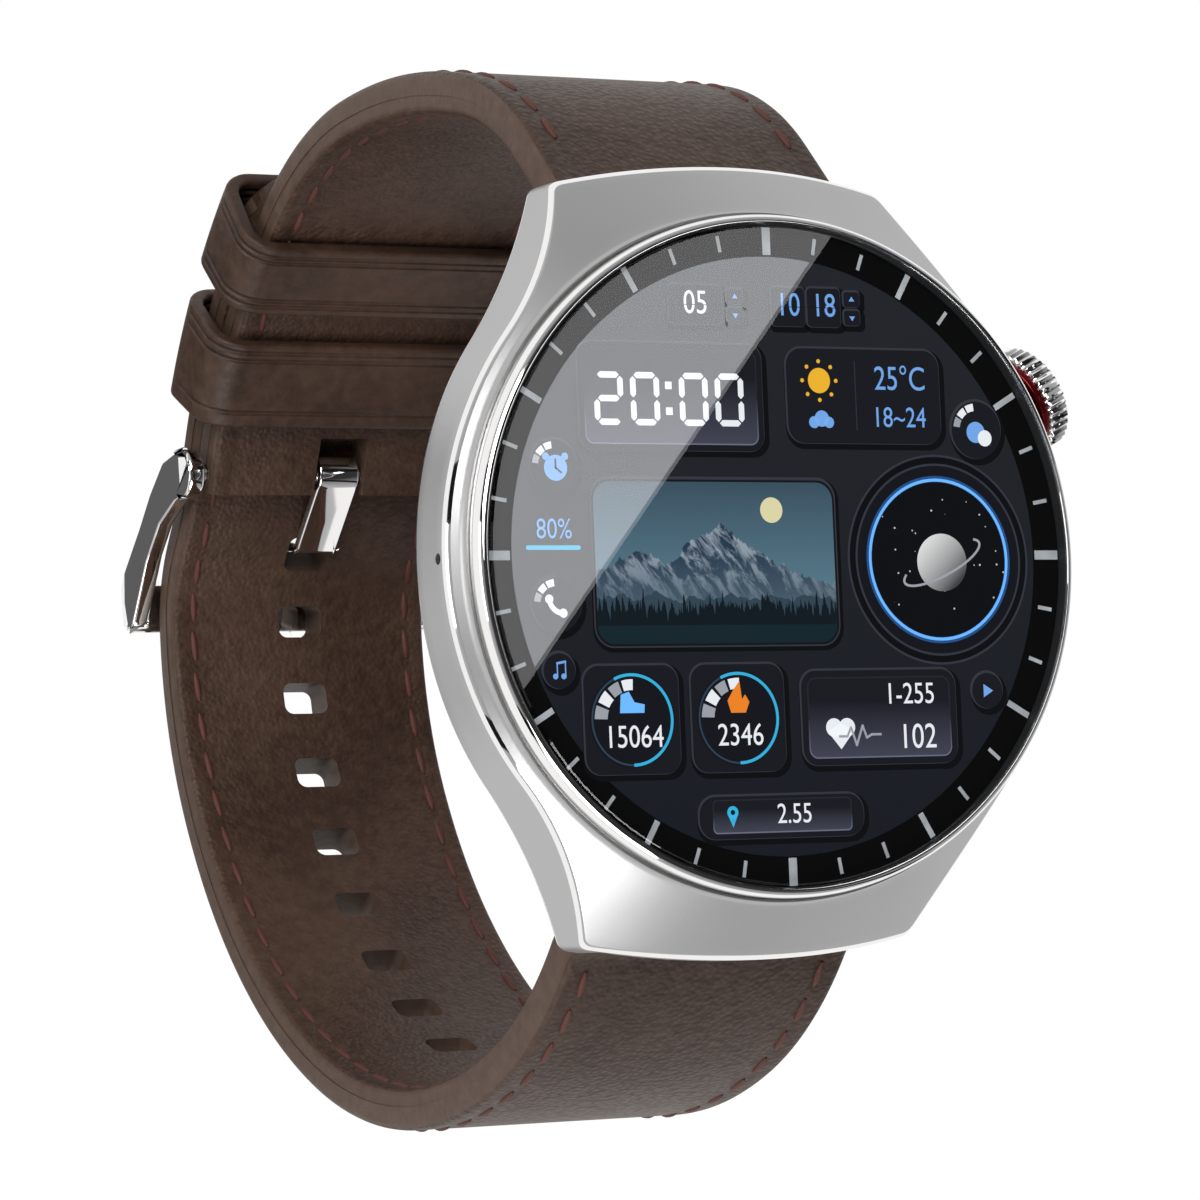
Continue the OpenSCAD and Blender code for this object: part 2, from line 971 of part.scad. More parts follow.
buckle_tang();
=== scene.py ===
"""A round smartwatch with a lit dial, closed on a stitched brown leather strap."""

import json
from math import asin, atan2, copysign, cos, hypot, pi, radians, sin, sqrt, tau

import bpy
from mathutils import Matrix, Vector


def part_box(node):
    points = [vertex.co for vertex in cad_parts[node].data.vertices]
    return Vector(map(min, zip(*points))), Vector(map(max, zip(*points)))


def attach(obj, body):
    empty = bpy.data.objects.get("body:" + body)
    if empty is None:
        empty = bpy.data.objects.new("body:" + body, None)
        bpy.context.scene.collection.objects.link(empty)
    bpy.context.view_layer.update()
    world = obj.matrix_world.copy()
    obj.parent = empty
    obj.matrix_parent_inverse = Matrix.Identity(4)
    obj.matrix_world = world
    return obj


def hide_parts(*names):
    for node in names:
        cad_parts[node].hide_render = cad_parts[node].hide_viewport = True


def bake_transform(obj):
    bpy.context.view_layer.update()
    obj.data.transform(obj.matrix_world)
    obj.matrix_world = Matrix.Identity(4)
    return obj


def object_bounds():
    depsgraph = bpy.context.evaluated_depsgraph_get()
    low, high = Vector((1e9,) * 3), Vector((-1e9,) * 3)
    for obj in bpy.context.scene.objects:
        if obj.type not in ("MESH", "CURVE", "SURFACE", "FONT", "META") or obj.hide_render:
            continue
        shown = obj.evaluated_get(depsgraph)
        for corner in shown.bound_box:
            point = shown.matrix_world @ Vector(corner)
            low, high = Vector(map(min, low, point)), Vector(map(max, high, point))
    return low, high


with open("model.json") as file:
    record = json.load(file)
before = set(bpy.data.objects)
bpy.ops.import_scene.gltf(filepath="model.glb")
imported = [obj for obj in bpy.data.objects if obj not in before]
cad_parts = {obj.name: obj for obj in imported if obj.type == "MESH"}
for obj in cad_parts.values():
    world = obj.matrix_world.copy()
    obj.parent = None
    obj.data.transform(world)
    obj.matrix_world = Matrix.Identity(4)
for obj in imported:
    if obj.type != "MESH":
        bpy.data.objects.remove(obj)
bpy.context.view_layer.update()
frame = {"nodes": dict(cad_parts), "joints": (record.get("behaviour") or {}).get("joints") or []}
bpy.ops.object.select_all(action="DESELECT")
mm = 0.001
weld = 0.5e-6

# ---------------------------------------------------------------- Case body
# One piece of stainless steel, turned and milled, then bead blasted. The ridge and
# the lower edge are polished afterwards. The straps' ends sit in pockets between its lugs.


class Wire:
    """A socket in a material's node tree. Sums on it add the nodes that work them out."""

    def __init__(self, tree, socket=None):
        self.tree = tree
        self.socket = socket

    def node(self, kind, settings=None, values=None, out=0):
        made = self.tree.nodes.new("ShaderNode" + kind)
        for key, value in (settings or {}).items():
            if key == "stops":
                made.color_ramp.elements[0].position = value[0][0]
                made.color_ramp.elements[1].position = value[-1][0]
                for place, _ in value[1:-1]:
                    made.color_ramp.elements.new(place)
                for element, (_, colour) in zip(made.color_ramp.elements, value):
                    element.color = (*colour, 1)
            else:
                setattr(made, key, value)
        for key, value in (values or {}).items():
            if isinstance(value, Wire):
                self.tree.links.new(value.socket, made.inputs[key])
            else:
                made.inputs[key].default_value = value
        return Wire(self.tree, made.outputs[out])

    def math(self, operation, *values):
        return self.node("Math", {"operation": operation}, dict(enumerate(values)))

    def __add__(self, other):
        return self.math("ADD", self, other)

    def __sub__(self, other):
        return self.math("SUBTRACT", self, other)

    def __rsub__(self, other):
        return self.math("SUBTRACT", other, self)

    def __mul__(self, other):
        return self.math("MULTIPLY", self, other)

    def __gt__(self, other):
        return self.math("GREATER_THAN", self, other)

    def __lt__(self, other):
        return self.math("LESS_THAN", self, other)

    __radd__ = __add__
    __rmul__ = __mul__

    def place(self):
        """Where a point is in the row frame, in metres."""
        return self.node("TexCoord", out=3)

    def axis(self, letter):
        return self.node("SeparateXYZ", None, {0: self.place()}, "XYZ".index(letter))

    def mix(self, first, second):
        """first where this wire is 0, second where it is 1."""
        settings = {"data_type": "RGBA"}
        return self.node("Mix", settings, {0: self, 6: first, 7: second}, 2)

    def noise(self, scale, detail=4, rough=0.5):
        values = {"Vector": self.place(), "Scale": scale, "Detail": detail, "Roughness": rough}
        return self.node("TexNoise", None, values)

    def bump(self, strength, depth):
        """This wire's height, as a bump of that depth in metres."""
        return self.node("Bump", None, {"Strength": strength, "Distance": depth, "Height": self})


def finish(name, values, varied=None):
    """A material from its shader's sockets. varied gets a wire and gives the sockets that change."""
    made = bpy.data.materials.new(name)
    made.use_nodes = True
    shader = made.node_tree.nodes["Principled BSDF"]
    for key, value in values.items():
        shader.inputs[key].default_value = (*value, 1) if isinstance(value, tuple) else value
    for key, wire in (varied(Wire(made.node_tree)) if varied else {}).items():
        made.node_tree.links.new(wire.socket, shader.inputs[key])
    return made


def blasted(wire):
    grain = wire.noise(3800, 3, 0.6)
    cloud = wire.noise(90, 2)
    return {"Normal": grain.bump(0.35, 0.00002), "Roughness": 0.33 + 0.1 * cloud}


satin_look = {"Base Color": (0.44, 0.44, 0.44), "Metallic": 1.0, "Roughness": 0.38}
satin_steel = finish("satin_steel", satin_look, blasted)
polished_look = {"Base Color": (0.86, 0.85, 0.84), "Metallic": 1.0, "Roughness": 0.05}
polished_steel = finish("polished_steel", polished_look)

case_r = 23.9
flank_r = 45
flank_angle = radians(38)
lug_end = 25.5
end_bulge = 1.2
bezel_r = 22.75
edge_soft = 0.32


def polar(centre, radius, angle):
    return (centre[0] + radius * cos(angle), centre[1] + radius * sin(angle))


def arc(centre, radius, start, end, steps):
    return [polar(centre, radius, start + (end - start) * i / steps) for i in range(steps + 1)]


def bow(a, b, c, steps):
    """A soft corner from a to c that b pulls outwards."""
    return [
        tuple((1 - t) ** 2 * p + 2 * t * (1 - t) * q + t * t * r for p, q, r in zip(a, b, c))
        for t in (i / steps for i in range(steps + 1))
    ]


def case_outline():
    """Points round the case, from 3 o'clock, with the lug corners rounded off."""
    centre = polar((0, 0), case_r + flank_r, flank_angle)
    corner = pi + asin((centre[1] - lug_end) / flank_r)
    corner_x = polar(centre, flank_r, corner)[0]
    end_r = (corner_x**2 + end_bulge**2) / (2 * end_bulge)
    end_centre = (0, lug_end + end_bulge - end_r)
    end_angle = pi / 2 - asin(corner_x / end_r)
    body = arc((0, 0), case_r, 0, flank_angle, 26)
    flank = arc(centre, flank_r, pi + flank_angle, corner + 0.013, 20)[1:]
    end = arc(end_centre, end_r, end_angle + 0.009, pi / 2, 14)
    round_corner = bow(flank[-1], (corner_x, lug_end), end[0], 6)[1:-1]
    quarter = body + flank + round_corner + end
    half = quarter + [(-x, y) for x, y in reversed(quarter[:-1])]
    return half + [(x, -y) for x, y in reversed(half[1:-1])]


def case_column(x, y):
    """The section at a point of the outline: (radius, height, polished), from the bezel down."""
    reach = hypot(x, y)
    belly_z = 4.9
    belly_drop = 3.9
    belly_r = (lug_end**2 + belly_drop**2) / (2 * belly_drop)
    slope = -1.035
    rim_z = 10.55
    seat_z = 9.9
    well_r = 20.3
    skirt_r, skirt_z = 21.2, 0.7
    cove = arc((bezel_r + 1.1, rim_z), 0.9, pi, radians(224), 8)

    def top(r):
        return cove[-1][1] + slope * (r - cove[-1][0])

    def belly(r):
        return belly_z - belly_r + sqrt(belly_r**2 - (r * y / reach) ** 2)

    def skirt(r):
        return skirt_z + (r - skirt_r) * 1.665

    inner = reach - edge_soft
    meet = inner
    while skirt(meet) > belly(meet):
        meet -= 0.01
    under = [inner + (meet - inner) * i / 6 for i in range(1, 7)]
    shoulder = [cove[-1][0] + (inner - cove[-1][0]) * i / 8 for i in range(1, 8)]
    column = [(bezel_r, seat_z, 0), (bezel_r, 10.48, 0), (bezel_r + 0.06, rim_z, 0)]
    column += [(r, z, 0) for r, z in cove] + [(r, top(r), 0) for r in shoulder]
    ridge = bow((inner, top(inner)), (reach, top(reach)), (reach, top(reach) - edge_soft), 5)
    foot = bow((reach, belly(reach) + edge_soft), (reach, belly(reach)), (inner, belly(inner)), 5)
    wall = [foot[0][1] + (ridge[-1][1] - foot[0][1]) * i / 4 for i in (3, 2, 1)]
    column += [(r, z, 1) for r, z in ridge] + [(reach, z, 0) for z in wall]
    column += [(r, z, 1) for r, z in foot] + [(r, belly(r), 0) for r in under]
    column += [(skirt_r, skirt_z, 0), (well_r, skirt_z, 0), (well_r, 1.4, 0), (well_r, seat_z, 0)]
    return column


def placed(name, data):
    """A new object of that data, in the scene."""
    made = bpy.data.objects.new(name, data)
    bpy.context.scene.collection.objects.link(made)
    return made


def coat(piece, finishes):
    for each in finishes:
        piece.data.materials.append(each)


def dress(node, look):
    """Gives a CAD piece that is shown as it is another finish."""
    frame["nodes"][node].data.materials[0] = look


def mode(kind):
    bpy.ops.object.mode_set(mode=kind)


def select(action="SELECT"):
    bpy.ops.mesh.select_all(action=action)


def skin(name, rings, finishes):
    """A mesh through rings of points. A point may end with the number of its face's finish."""
    count = len(rings[0])
    points = [tuple(v * mm for v in p[:3]) for ring in rings for p in ring]
    faces = []
    numbers = []
    for i in range(len(rings)):
        for j in range(count):
            k = (j + 1) % count
            n = (i + 1) % len(rings)
            faces.append((i * count + j, i * count + k, n * count + k, n * count + j))
            numbers.append(min(rings[i][j][3], rings[i][k][3]) if len(rings[i][j]) > 3 else 0)
    mesh = bpy.data.meshes.new(name)
    mesh.from_pydata(points, [], faces)
    mesh.polygons.foreach_set("material_index", numbers)
    piece = placed(name, mesh)
    coat(piece, finishes)
    return piece


def edit(piece):
    """Starts work on one piece alone, all of it selected."""
    bpy.ops.object.select_all(action="DESELECT")
    bpy.context.view_layer.objects.active = piece
    piece.select_set(True)
    mode("EDIT")
    select()


def done(smooth=35):
    """Ends the work: curves are shaded smooth, and the piece's place goes into its mesh."""
    if bpy.context.object.mode == "EDIT":
        mode("OBJECT")
    bpy.ops.object.transform_apply()
    bpy.ops.object.shade_smooth_by_angle(angle=radians(smooth))
    bpy.context.object.select_set(False)


def outwards():
    select()
    bpy.ops.mesh.normals_make_consistent(inside=False)


def pick_edges(piece, rule):
    """Selects the edges whose two ends meet a rule, and leaves the piece open for work."""
    edit(piece)
    select("DESELECT")
    mode("OBJECT")
    for edge in piece.data.edges:
        edge.select = rule(*(piece.data.vertices[v].co for v in edge.vertices))
    mode("EDIT")


def join(pieces, name):
    bpy.ops.object.select_all(action="DESELECT")
    for piece in pieces:
        piece.select_set(True)
    bpy.context.view_layer.objects.active = pieces[0]
    if len(pieces) > 1:
        bpy.ops.object.join()
    pieces[0].name = name
    pieces[0].select_set(False)
    return pieces[0]


def cut(piece, tools):
    """Takes the tools out of a piece, and throws the tools away."""
    tool = join(tools, "tool")
    bpy.context.view_layer.objects.active = piece
    modifier = piece.modifiers.new("cut", "BOOLEAN")
    modifier.operation = "DIFFERENCE"
    modifier.solver = "EXACT"
    modifier.use_self = True
    modifier.object = tool
    bpy.ops.object.modifier_apply(modifier="cut")
    bpy.data.objects.remove(tool)


def block(low, high, finishes=()):
    """A plain block between two corners, in millimetres."""
    centre = [(a + b) / 2 * mm for a, b in zip(low, high)]
    bpy.ops.mesh.primitive_cube_add(size=1, location=centre)
    piece = bpy.context.object
    piece.scale = [(b - a) * mm for a, b in zip(low, high)]
    bpy.ops.object.transform_apply()
    coat(piece, finishes)
    piece.select_set(False)
    return piece


def rod(start, along, radius, length, sides=48, finishes=()):
    """A round bar from a point in a direction, in millimetres."""
    way = Vector(along).normalized()
    place = (Vector(start) + way * length / 2) * mm
    turn = way.to_track_quat("Z", "Y").to_euler()
    bpy.ops.mesh.primitive_cylinder_add(
        vertices=sides, radius=radius * mm, depth=length * mm, location=place, rotation=turn
    )
    piece = bpy.context.object
    bpy.ops.object.transform_apply()
    coat(piece, finishes)
    piece.select_set(False)
    return piece


columns = []
for x, y in case_outline():
    away = hypot(x, y)
    columns.append([(x / away * r, y / away * r, z, p) for r, z, p in case_column(x, y)])
case_body = skin("case_body", columns, [satin_steel, polished_steel])
edit(case_body)
outwards()
mode("OBJECT")


def joint(name):
    return next(j for j in frame["joints"] if j["name"] == name)


# The strap pockets, the bores of crown and button, and the microphone's pinhole are cut out.
crown_way = -Vector(joint("crown_press")["axis"])
button_way = -Vector(joint("side_button_press")["axis"])
control_z = joint("crown_turn")["pos_m"][2] / mm
control = Vector((0, 0, control_z))
mic_z = 8.3
pocket_x = 11.15
pocket_top = 4.3
tools = []
for start, end in ((22.05, 29), (-29, -22.05)):
    tools.append(block((-pocket_x, start, -1), (pocket_x, end, pocket_top), [satin_steel]))
tools.append(rod(crown_way * 18 + control, crown_way, 1.5, 8, 48, [satin_steel]))
tools.append(rod((-18, 0, mic_z), (-1, 0, 0), 0.37, 8, 32, [satin_steel]))
tools.append(rod(button_way * 18 + control, button_way, 0.95, 5, 32, [satin_steel]))
key_slot = block((-1.4, -4.1, 22.4), (1.4, 4.1, 26), [satin_steel])
pick_edges(key_slot, lambda a, b: abs(a.z - b.z) > 1 * mm)
bpy.ops.mesh.bevel(offset=1.39 * mm, segments=12)
mode("OBJECT")
upright = Matrix(((0, button_way.y, button_way.x), (0, -button_way.x, button_way.y), (-1, 0, 0)))
key_slot.data.transform(Matrix.Translation(control * mm) @ upright.to_4x4())
edit(key_slot)
outwards()
mode("OBJECT")
key_slot.select_set(False)
tools.append(key_slot)
cut(case_body, tools)
edit(case_body)
done(32)
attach(case_body, "case")
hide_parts("mid_case")

# ---------------------------------------------------------------- Bezel
# A polished steel ring, turned to a round brow and pressed into the case. It holds the glass.


def turned(name, profile, finishes, steps, closed=True):
    """A profile of (radius, height) in millimetres, spun about the dial's middle axis."""
    points = [(r * mm, 0, z * mm) for r, z in profile]
    edges = [(i, i + 1) for i in range(len(points) - 1)]
    if closed:
        edges.append((len(points) - 1, 0))
    mesh = bpy.data.meshes.new(name)
    mesh.from_pydata(points, edges, [])
    piece = placed(name, mesh)
    coat(piece, finishes)
    edit(piece)
    bpy.ops.mesh.spin(steps=steps, angle=tau, center=(0, 0, 0), axis=(0, 0, 1))
    select()
    bpy.ops.mesh.remove_doubles(threshold=weld)
    outwards()
    done()
    return piece


bezel_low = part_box("bezel_ring")[0].z / mm
glass_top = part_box("cover_glass")[1].z / mm
glass_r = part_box("cover_glass")[1].x / mm
brow = bow((bezel_r, glass_top - 1.0), (bezel_r, glass_top - 0.1), (22.2, glass_top), 12)
bezel_profile = [(22.05, bezel_low), (bezel_r, bezel_low)] + brow
bezel_profile += [(22.1, glass_top - 0.02), (22.05, glass_top - 0.1)]
bezel = turned("bezel", bezel_profile, [polished_steel], 240)
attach(bezel, "case")
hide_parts("bezel_ring")

# ---------------------------------------------------------------- Glass and its gasket
# A flat disc of hardened glass, ground at its edge, set in a thin black gasket.


def clear_glass(wire):
    """Lets the dial through and adds the gloss of a bare surface, on its outer side only."""
    tree = wire.tree
    gloss = wire.node("BsdfGlossy", None, {"Color": (1, 1, 1, 1), "Roughness": 0.0})
    through = wire.node("BsdfTransparent", None, {"Color": (0.96, 0.97, 0.98, 1)})
    share = wire.node("Fresnel", None, {"IOR": 1.55}) * (1 - wire.node("NewGeometry", out=6))
    both = wire.node("MixShader", None, {0: share, 1: through, 2: gloss})
    tree.links.new(both.socket, tree.nodes["Material Output"].inputs["Surface"])
    return {}


glass = finish("glass", {"Base Color": (0.9, 0.93, 0.95), "Roughness": 0.0}, clear_glass)
glass_profile = [(0, 11.07), (glass_r - 0.03, 11.07), (glass_r - 0.01, glass_top - 0.2)]
glass_profile += [(glass_r - 0.2, glass_top), (0, glass_top)]
cover = turned("glass_cover", glass_profile, [glass], 180, closed=False)
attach(cover, "case")
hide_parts("cover_glass")

black_rubber = finish("black_rubber", {"Base Color": (0.008, 0.008, 0.008), "Roughness": 0.6})
for node in ("glass_gasket", "rear_seal", "crown_seal", "button_seal", "mic_boot"):
    dress(node, black_rubber)

# ---------------------------------------------------------------- Dial ring
# A black printed ring round the display, with light marks in ink. The ink also glows a little:
# painted light standing in for lamplight on the marks.

ring_look = {"Base Color": (0.002, 0.002, 0.002), "Roughness": 0.5, "Specular IOR Level": 0.05}
ring_black = finish("ring_black", ring_look)
dress("dial_ring", ring_black)


# The ink's tone varies in streaks at random, and the same tone is given off as a faint glow, which is
# painted light.
def streaked_glowing_ink(wire):
    streak = wire.noise(700, 2)
    tone = streak.mix((0.16, 0.165, 0.17, 1), (0.42, 0.43, 0.44, 1))
    return {"Base Color": tone, "Emission Color": tone}


# The marks glow at half strength: painted light, not a lamp.
tick_ink = finish("tick_ink", {"Roughness": 0.4, "Emission Strength": 0.5}, streaked_glowing_ink)
dress("tick_marks", tick_ink)

# ---------------------------------------------------------------- Display
# A lit panel under the glass. What it shows is laid out in thin layers, from the back to the front.


def lit(name, colour, strength=1.0, varied=None, ior=1.86):
    """A display colour: it shines by itself, behind a mirror-smooth face."""
    values = {"Base Color": (0, 0, 0), "Roughness": 0, "IOR": ior}
    values |= {"Emission Strength": strength, "Emission Color": colour}
    return finish(name, values, varied)


def shade_across(low, high, start, end, letter="Y"):
    """A varied colour that runs from one to the other between two heights on the dial."""

    def varied(wire):
        share = wire.node("MapRange", None, {0: wire.axis(letter), 1: start * mm, 2: end * mm})
        return {"Emission Color": share.mix((*low, 1), (*high, 1))}

    return varied


screen_shade = shade_across((0.009, 0.011, 0.016), (0.016, 0.018, 0.022), -18, 18)
screen_dark = lit("screen_dark", (0.011, 0.0135, 0.018), 1.0, screen_shade)
dress("display_panel", screen_dark)
panel_shadow = lit("panel_shadow", (0.0022, 0.0026, 0.0035))
panel_light = lit("panel_light", (0.036, 0.040, 0.052))
panel_fill = lit("panel_fill", (0.0085, 0.0098, 0.0135))
panel_deep = lit("panel_deep", (0.006, 0.007, 0.011))
digit_blue = lit("digit_blue", (0.19, 0.42, 0.86))
digit_white = lit("digit_white", (0.92, 0.94, 0.97))
cyan = lit("cyan", (0.04, 0.48, 0.78))
glow_blue = lit("glow_blue", (0.14, 0.42, 0.95), 1.3)
soft_grey = lit("soft_grey", (0.36, 0.38, 0.42))
sun_yellow = lit("sun_yellow", (0.95, 0.50, 0.03))
flame_orange = lit("flame_orange", (0.95, 0.25, 0.02))
moon_pale = lit("moon_pale", (0.80, 0.74, 0.42))
shown = []


def layer_z(layer):
    return (11.0 + 0.006 * layer) * mm


def keep(look):
    piece = bpy.context.object
    bpy.ops.object.transform_apply()
    piece.data.materials.clear()
    piece.data.materials.append(look)
    piece.select_set(False)
    shown.append(piece)
    return piece


def disc(x, y, radius, layer, look, sides=64):
    centre = (x * mm, y * mm, layer_z(layer))
    bpy.ops.mesh.primitive_circle_add(
        vertices=sides, radius=radius * mm, fill_type="NGON", location=centre
    )
    return keep(look)


def hoop(x, y, radius, width, layer, look, start=0, sweep=360):
    """A band of a circle, from an angle through a sweep, in degrees."""
    bpy.ops.mesh.primitive_circle_add(vertices=4, radius=1, location=(0, 0, 0))
    piece = bpy.context.object
    mode("EDIT")
    bpy.ops.mesh.delete(type="VERT")
    mode("OBJECT")
    angle = radians(start)
    out = Vector((cos(angle), sin(angle), 0))
    centre = Vector((x, y, 0))
    ends = [(centre + out * (radius - width / 2)) * mm, (centre + out * (radius + width / 2)) * mm]
    piece.data.from_pydata([(p.x, p.y, layer_z(layer)) for p in ends], [(0, 1)], [])
    mode("EDIT")
    select()
    steps = max(6, round(sweep / 5))
    middle = (x * mm, y * mm, layer_z(layer))
    bpy.ops.mesh.spin(steps=steps, angle=-radians(sweep), center=middle, axis=(0, 0, 1))
    select()
    bpy.ops.mesh.remove_doubles(threshold=0.2e-6)
    bpy.ops.mesh.normals_make_consistent(inside=False)
    mode("OBJECT")
    return keep(look)


def panel(x1, y1, x2, y2, corner, layer, look):
    """A flat panel with rounded corners."""
    centre = ((x1 + x2) / 2 * mm, (y1 + y2) / 2 * mm, layer_z(layer))
    bpy.ops.mesh.primitive_plane_add(size=1, location=centre)
    bpy.context.object.scale = ((x2 - x1) * mm, (y2 - y1) * mm, 1)
    bpy.ops.object.transform_apply()
    if corner:
        mode("EDIT")
        select()
        bpy.ops.mesh.bevel(offset=corner * mm, segments=8, affect="VERTICES")
        mode("OBJECT")
    return keep(look)


def raised_panel(x1, y1, x2, y2, corner, inner=None):
    """A panel that looks raised: its shadow falls below right, and its upper left edge is lit."""
    panel(x1 - 0.18, y1 - 0.42, x2 + 0.42, y2 + 0.05, corner + 0.2, 1, panel_shadow)
    panel(x1 - 0.14, y1 - 0.04, x2 + 0.04, y2 + 0.15, corner + 0.1, 2, panel_light)
    panel(x1, y1, x2, y2, corner, 3, panel_fill)
    if inner:
        inset(x1 + inner, y1 + inner, x2 - inner, y2 - inner, max(corner - inner, 0.3))


def inset(x1, y1, x2, y2, corner):
    """A window in a panel, darker above and hazy below, with a bright lower edge."""
    glow = shade_across((0.16, 0.17, 0.24), (0.020, 0.022, 0.030), y1, (y1 + y2) / 2)
    haze = shade_across((0.060, 0.062, 0.092), (0.0095, 0.0105, 0.015), y1, y2 - 0.3 * (y2 - y1))
    glow_look = lit("inset_glow", (0, 0, 0), 1.0, glow)
    haze_look = lit("inset_haze", (0, 0, 0), 1.0, haze)
    rim = 0.09
    panel(x1, y1, x2, y2, corner, 4, glow_look)
    panel(x1 + rim, y1 + rim, x2 - rim, y2 - rim, max(corner - 0.08, 0.15), 5, haze_look)


def line(points, width, layer, look):
    """A thin line through points on the dial."""
    for (x1, y1), (x2, y2) in zip(points, points[1:]):
        run = hypot(x2 - x1, y2 - y1)
        place = ((x1 + x2) / 2 * mm, (y1 + y2) / 2 * mm, layer_z(layer))
        slant = atan2(y2 - y1, x2 - x1)
        bpy.ops.mesh.primitive_plane_add(size=1, location=place, rotation=(0, 0, slant))
        bpy.context.object.scale = ((run + width * 0.7) * mm, width * mm, 1)
        keep(look)


def shape(points, layer, look):
    """A flat filled outline."""
    mesh = bpy.data.meshes.new("shape")
    spots = [(x * mm, y * mm, layer_z(layer)) for x, y in points]
    mesh.from_pydata(spots, [], [tuple(range(len(spots)))])
    piece = placed("shape", mesh)
    bpy.ops.object.select_all(action="DESELECT")
    bpy.context.view_layer.objects.active = piece
    piece.select_set(True)
    return keep(look)


def figures(words, x, y, height, look, layer=6):
    """Plain figures, centred on a point."""
    bpy.ops.object.text_add(location=(x * mm, (y - height * 0.36) * mm, layer_z(layer)))
    piece = bpy.context.object
    piece.data.body = words
    piece.data.size = height * 1.38 * mm
    piece.data.align_x = "CENTER"
    piece.scale = (0.85, 1, 1)
    bpy.ops.object.convert(target="MESH")
    return keep(look)


segments = {"2": "abged", "0": "abcdef"}


def segment_digit(digit, x, y, wide, tall, thick):
    """A seven-segment figure; its bars are lettered as is usual, from a at the top."""
    gap = 0.07
    ends = {
        "a": ((0, 1), (1, 1)), "g": ((0, 0.5), (1, 0.5)), "d": ((0, 0), (1, 0)),
        "f": ((0, 0.5), (0, 1)), "b": ((1, 0.5), (1, 1)),
        "e": ((0, 0), (0, 0.5)), "c": ((1, 0), (1, 0.5)),
    }
    for name in segments[digit]:
        (ax, ay), (bx, by) = ends[name]
        a = Vector((x + ax * wide, y + ay * tall))
        b = Vector((x + bx * wide, y + by * tall))
        way = (b - a).normalized()
        side = Vector((-way.y, way.x)) * thick / 2
        a += way * gap
        b -= way * gap
        tip = way * thick / 2
        bar = (a, a + tip - side, b - tip - side, b, b - tip + side, a + tip + side)
        shape(bar, 6, digit_white)


# Day and date, as small flip boxes with steppers
for x1, x2, words in ((-7.6, -3.6, "05"), (0.2, 2.75, "10"), (2.95, 5.5, "18")):
    raised_panel(x1, 15.3, x2, 17.9, 0.3)
    figures(words, (x1 + x2) / 2, 16.6, 1.6, digit_white if words == "05" else digit_blue)
    line([(x1, 16.6), (x2, 16.6)], 0.05, 7, panel_deep)
for x in (-2.6, 6.4):
    for y, way in ((17.2, 1), (15.95, -1)):
        raised_panel(x - 0.6, y - 0.5, x + 0.6, y + 0.5, 0.2)
        arrow = [(x - 0.22, y - 0.12 * way), (x + 0.22, y - 0.12 * way), (x, y + 0.2 * way)]
        shape(arrow[::way], 6, digit_blue)

# Time
raised_panel(-14.6, 6.9, -0.8, 14.0, 1.0, 0.4)
for x, digit in ((-13.25, "2"), (-10.55, "0"), (-6.9, "0"), (-4.2, "0")):
    segment_digit(digit, x, 8.75, 1.75, 3.1, 0.42)
for y in (9.5, 11.2):
    panel(-8.15, y - 0.25, -7.65, y + 0.25, 0, 6, digit_white)

# Weather: a sun, a small cloud and two temperatures
raised_panel(1.1, 7.5, 13.0, 13.85, 1.2)
disc(3.6, 11.7, 0.85, 6, sun_yellow)
for i in range(8):
    angle = tau * i / 8
    disc(3.6 + 1.3 * cos(angle), 11.7 + 1.3 * sin(angle), 0.14, 6, sun_yellow, 16)
for x, y, r in ((3.1, 8.9, 0.4), (3.7, 9.15, 0.55), (4.25, 8.9, 0.38)):
    disc(x, y, r, 6, digit_blue, 32)
line([(6.4, 8.4), (6.4, 13.0)], 0.06, 6, panel_light)
figures("25°C", 9.9, 11.75, 1.65, digit_blue)
figures("18~24", 9.75, 9.15, 1.4, digit_blue)


def knob(x, y, radius, gauge=True):
    """A round raised key, with a gauge of three short bars on its upper left."""
    disc(x + 0.12, y - 0.2, radius + 0.25, 1, panel_shadow)
    disc(x - 0.06, y + 0.08, radius + 0.1, 2, panel_light)
    disc(x, y, radius, 3, panel_fill)
    if gauge:
        for i, tone in enumerate((soft_grey, digit_white, digit_white)):
            hoop(x, y, radius * 0.8, radius * 0.26, 6, tone, 172 - i * 27, -22)


# Messages
knob(15.8, 8.5, 1.95)
disc(15.75, 8.35, 0.72, 6, digit_blue, 40)
disc(16.45, 7.95, 0.55, 7, digit_white, 40)

# Alarm
knob(-16.6, 5.8, 1.75)
disc(-16.5, 5.7, 0.85, 6, digit_blue, 40)
line([(-16.5, 6.25), (-16.5, 5.7), (-16.1, 5.4)], 0.14, 7, panel_deep)
for side in (-1, 1):
    disc(-16.5 + side * 0.7, 6.45, 0.25, 6, digit_blue, 20)

# Battery
figures("80%", -16.8, 1.6, 1.35, digit_blue)
panel(-18.9, 0.35, -14.9, 0.65, 0.14, 6, cyan)

# Phone
knob(-16.8, -3.2, 1.8)
hoop(-16.35, -2.75, 1.0, 0.36, 6, digit_white, 185, 85)
for angle in (185, 270):
    x = -16.35 + 1.0 * cos(radians(angle))
    y = -2.75 + 1.0 * sin(radians(angle))
    disc(x, y, 0.3, 6, digit_white, 24)

# Music
knob(-16.8, -7.5, 1.15, False)
for x in (-17.1, -16.5):
    disc(x, -7.85, 0.19, 6, digit_blue, 20)
    line([(x + 0.14, -7.85), (x + 0.14, -7.0)], 0.09, 6, digit_blue)
line([(-16.96, -7.0), (-16.36, -6.9)], 0.16, 6, digit_blue)

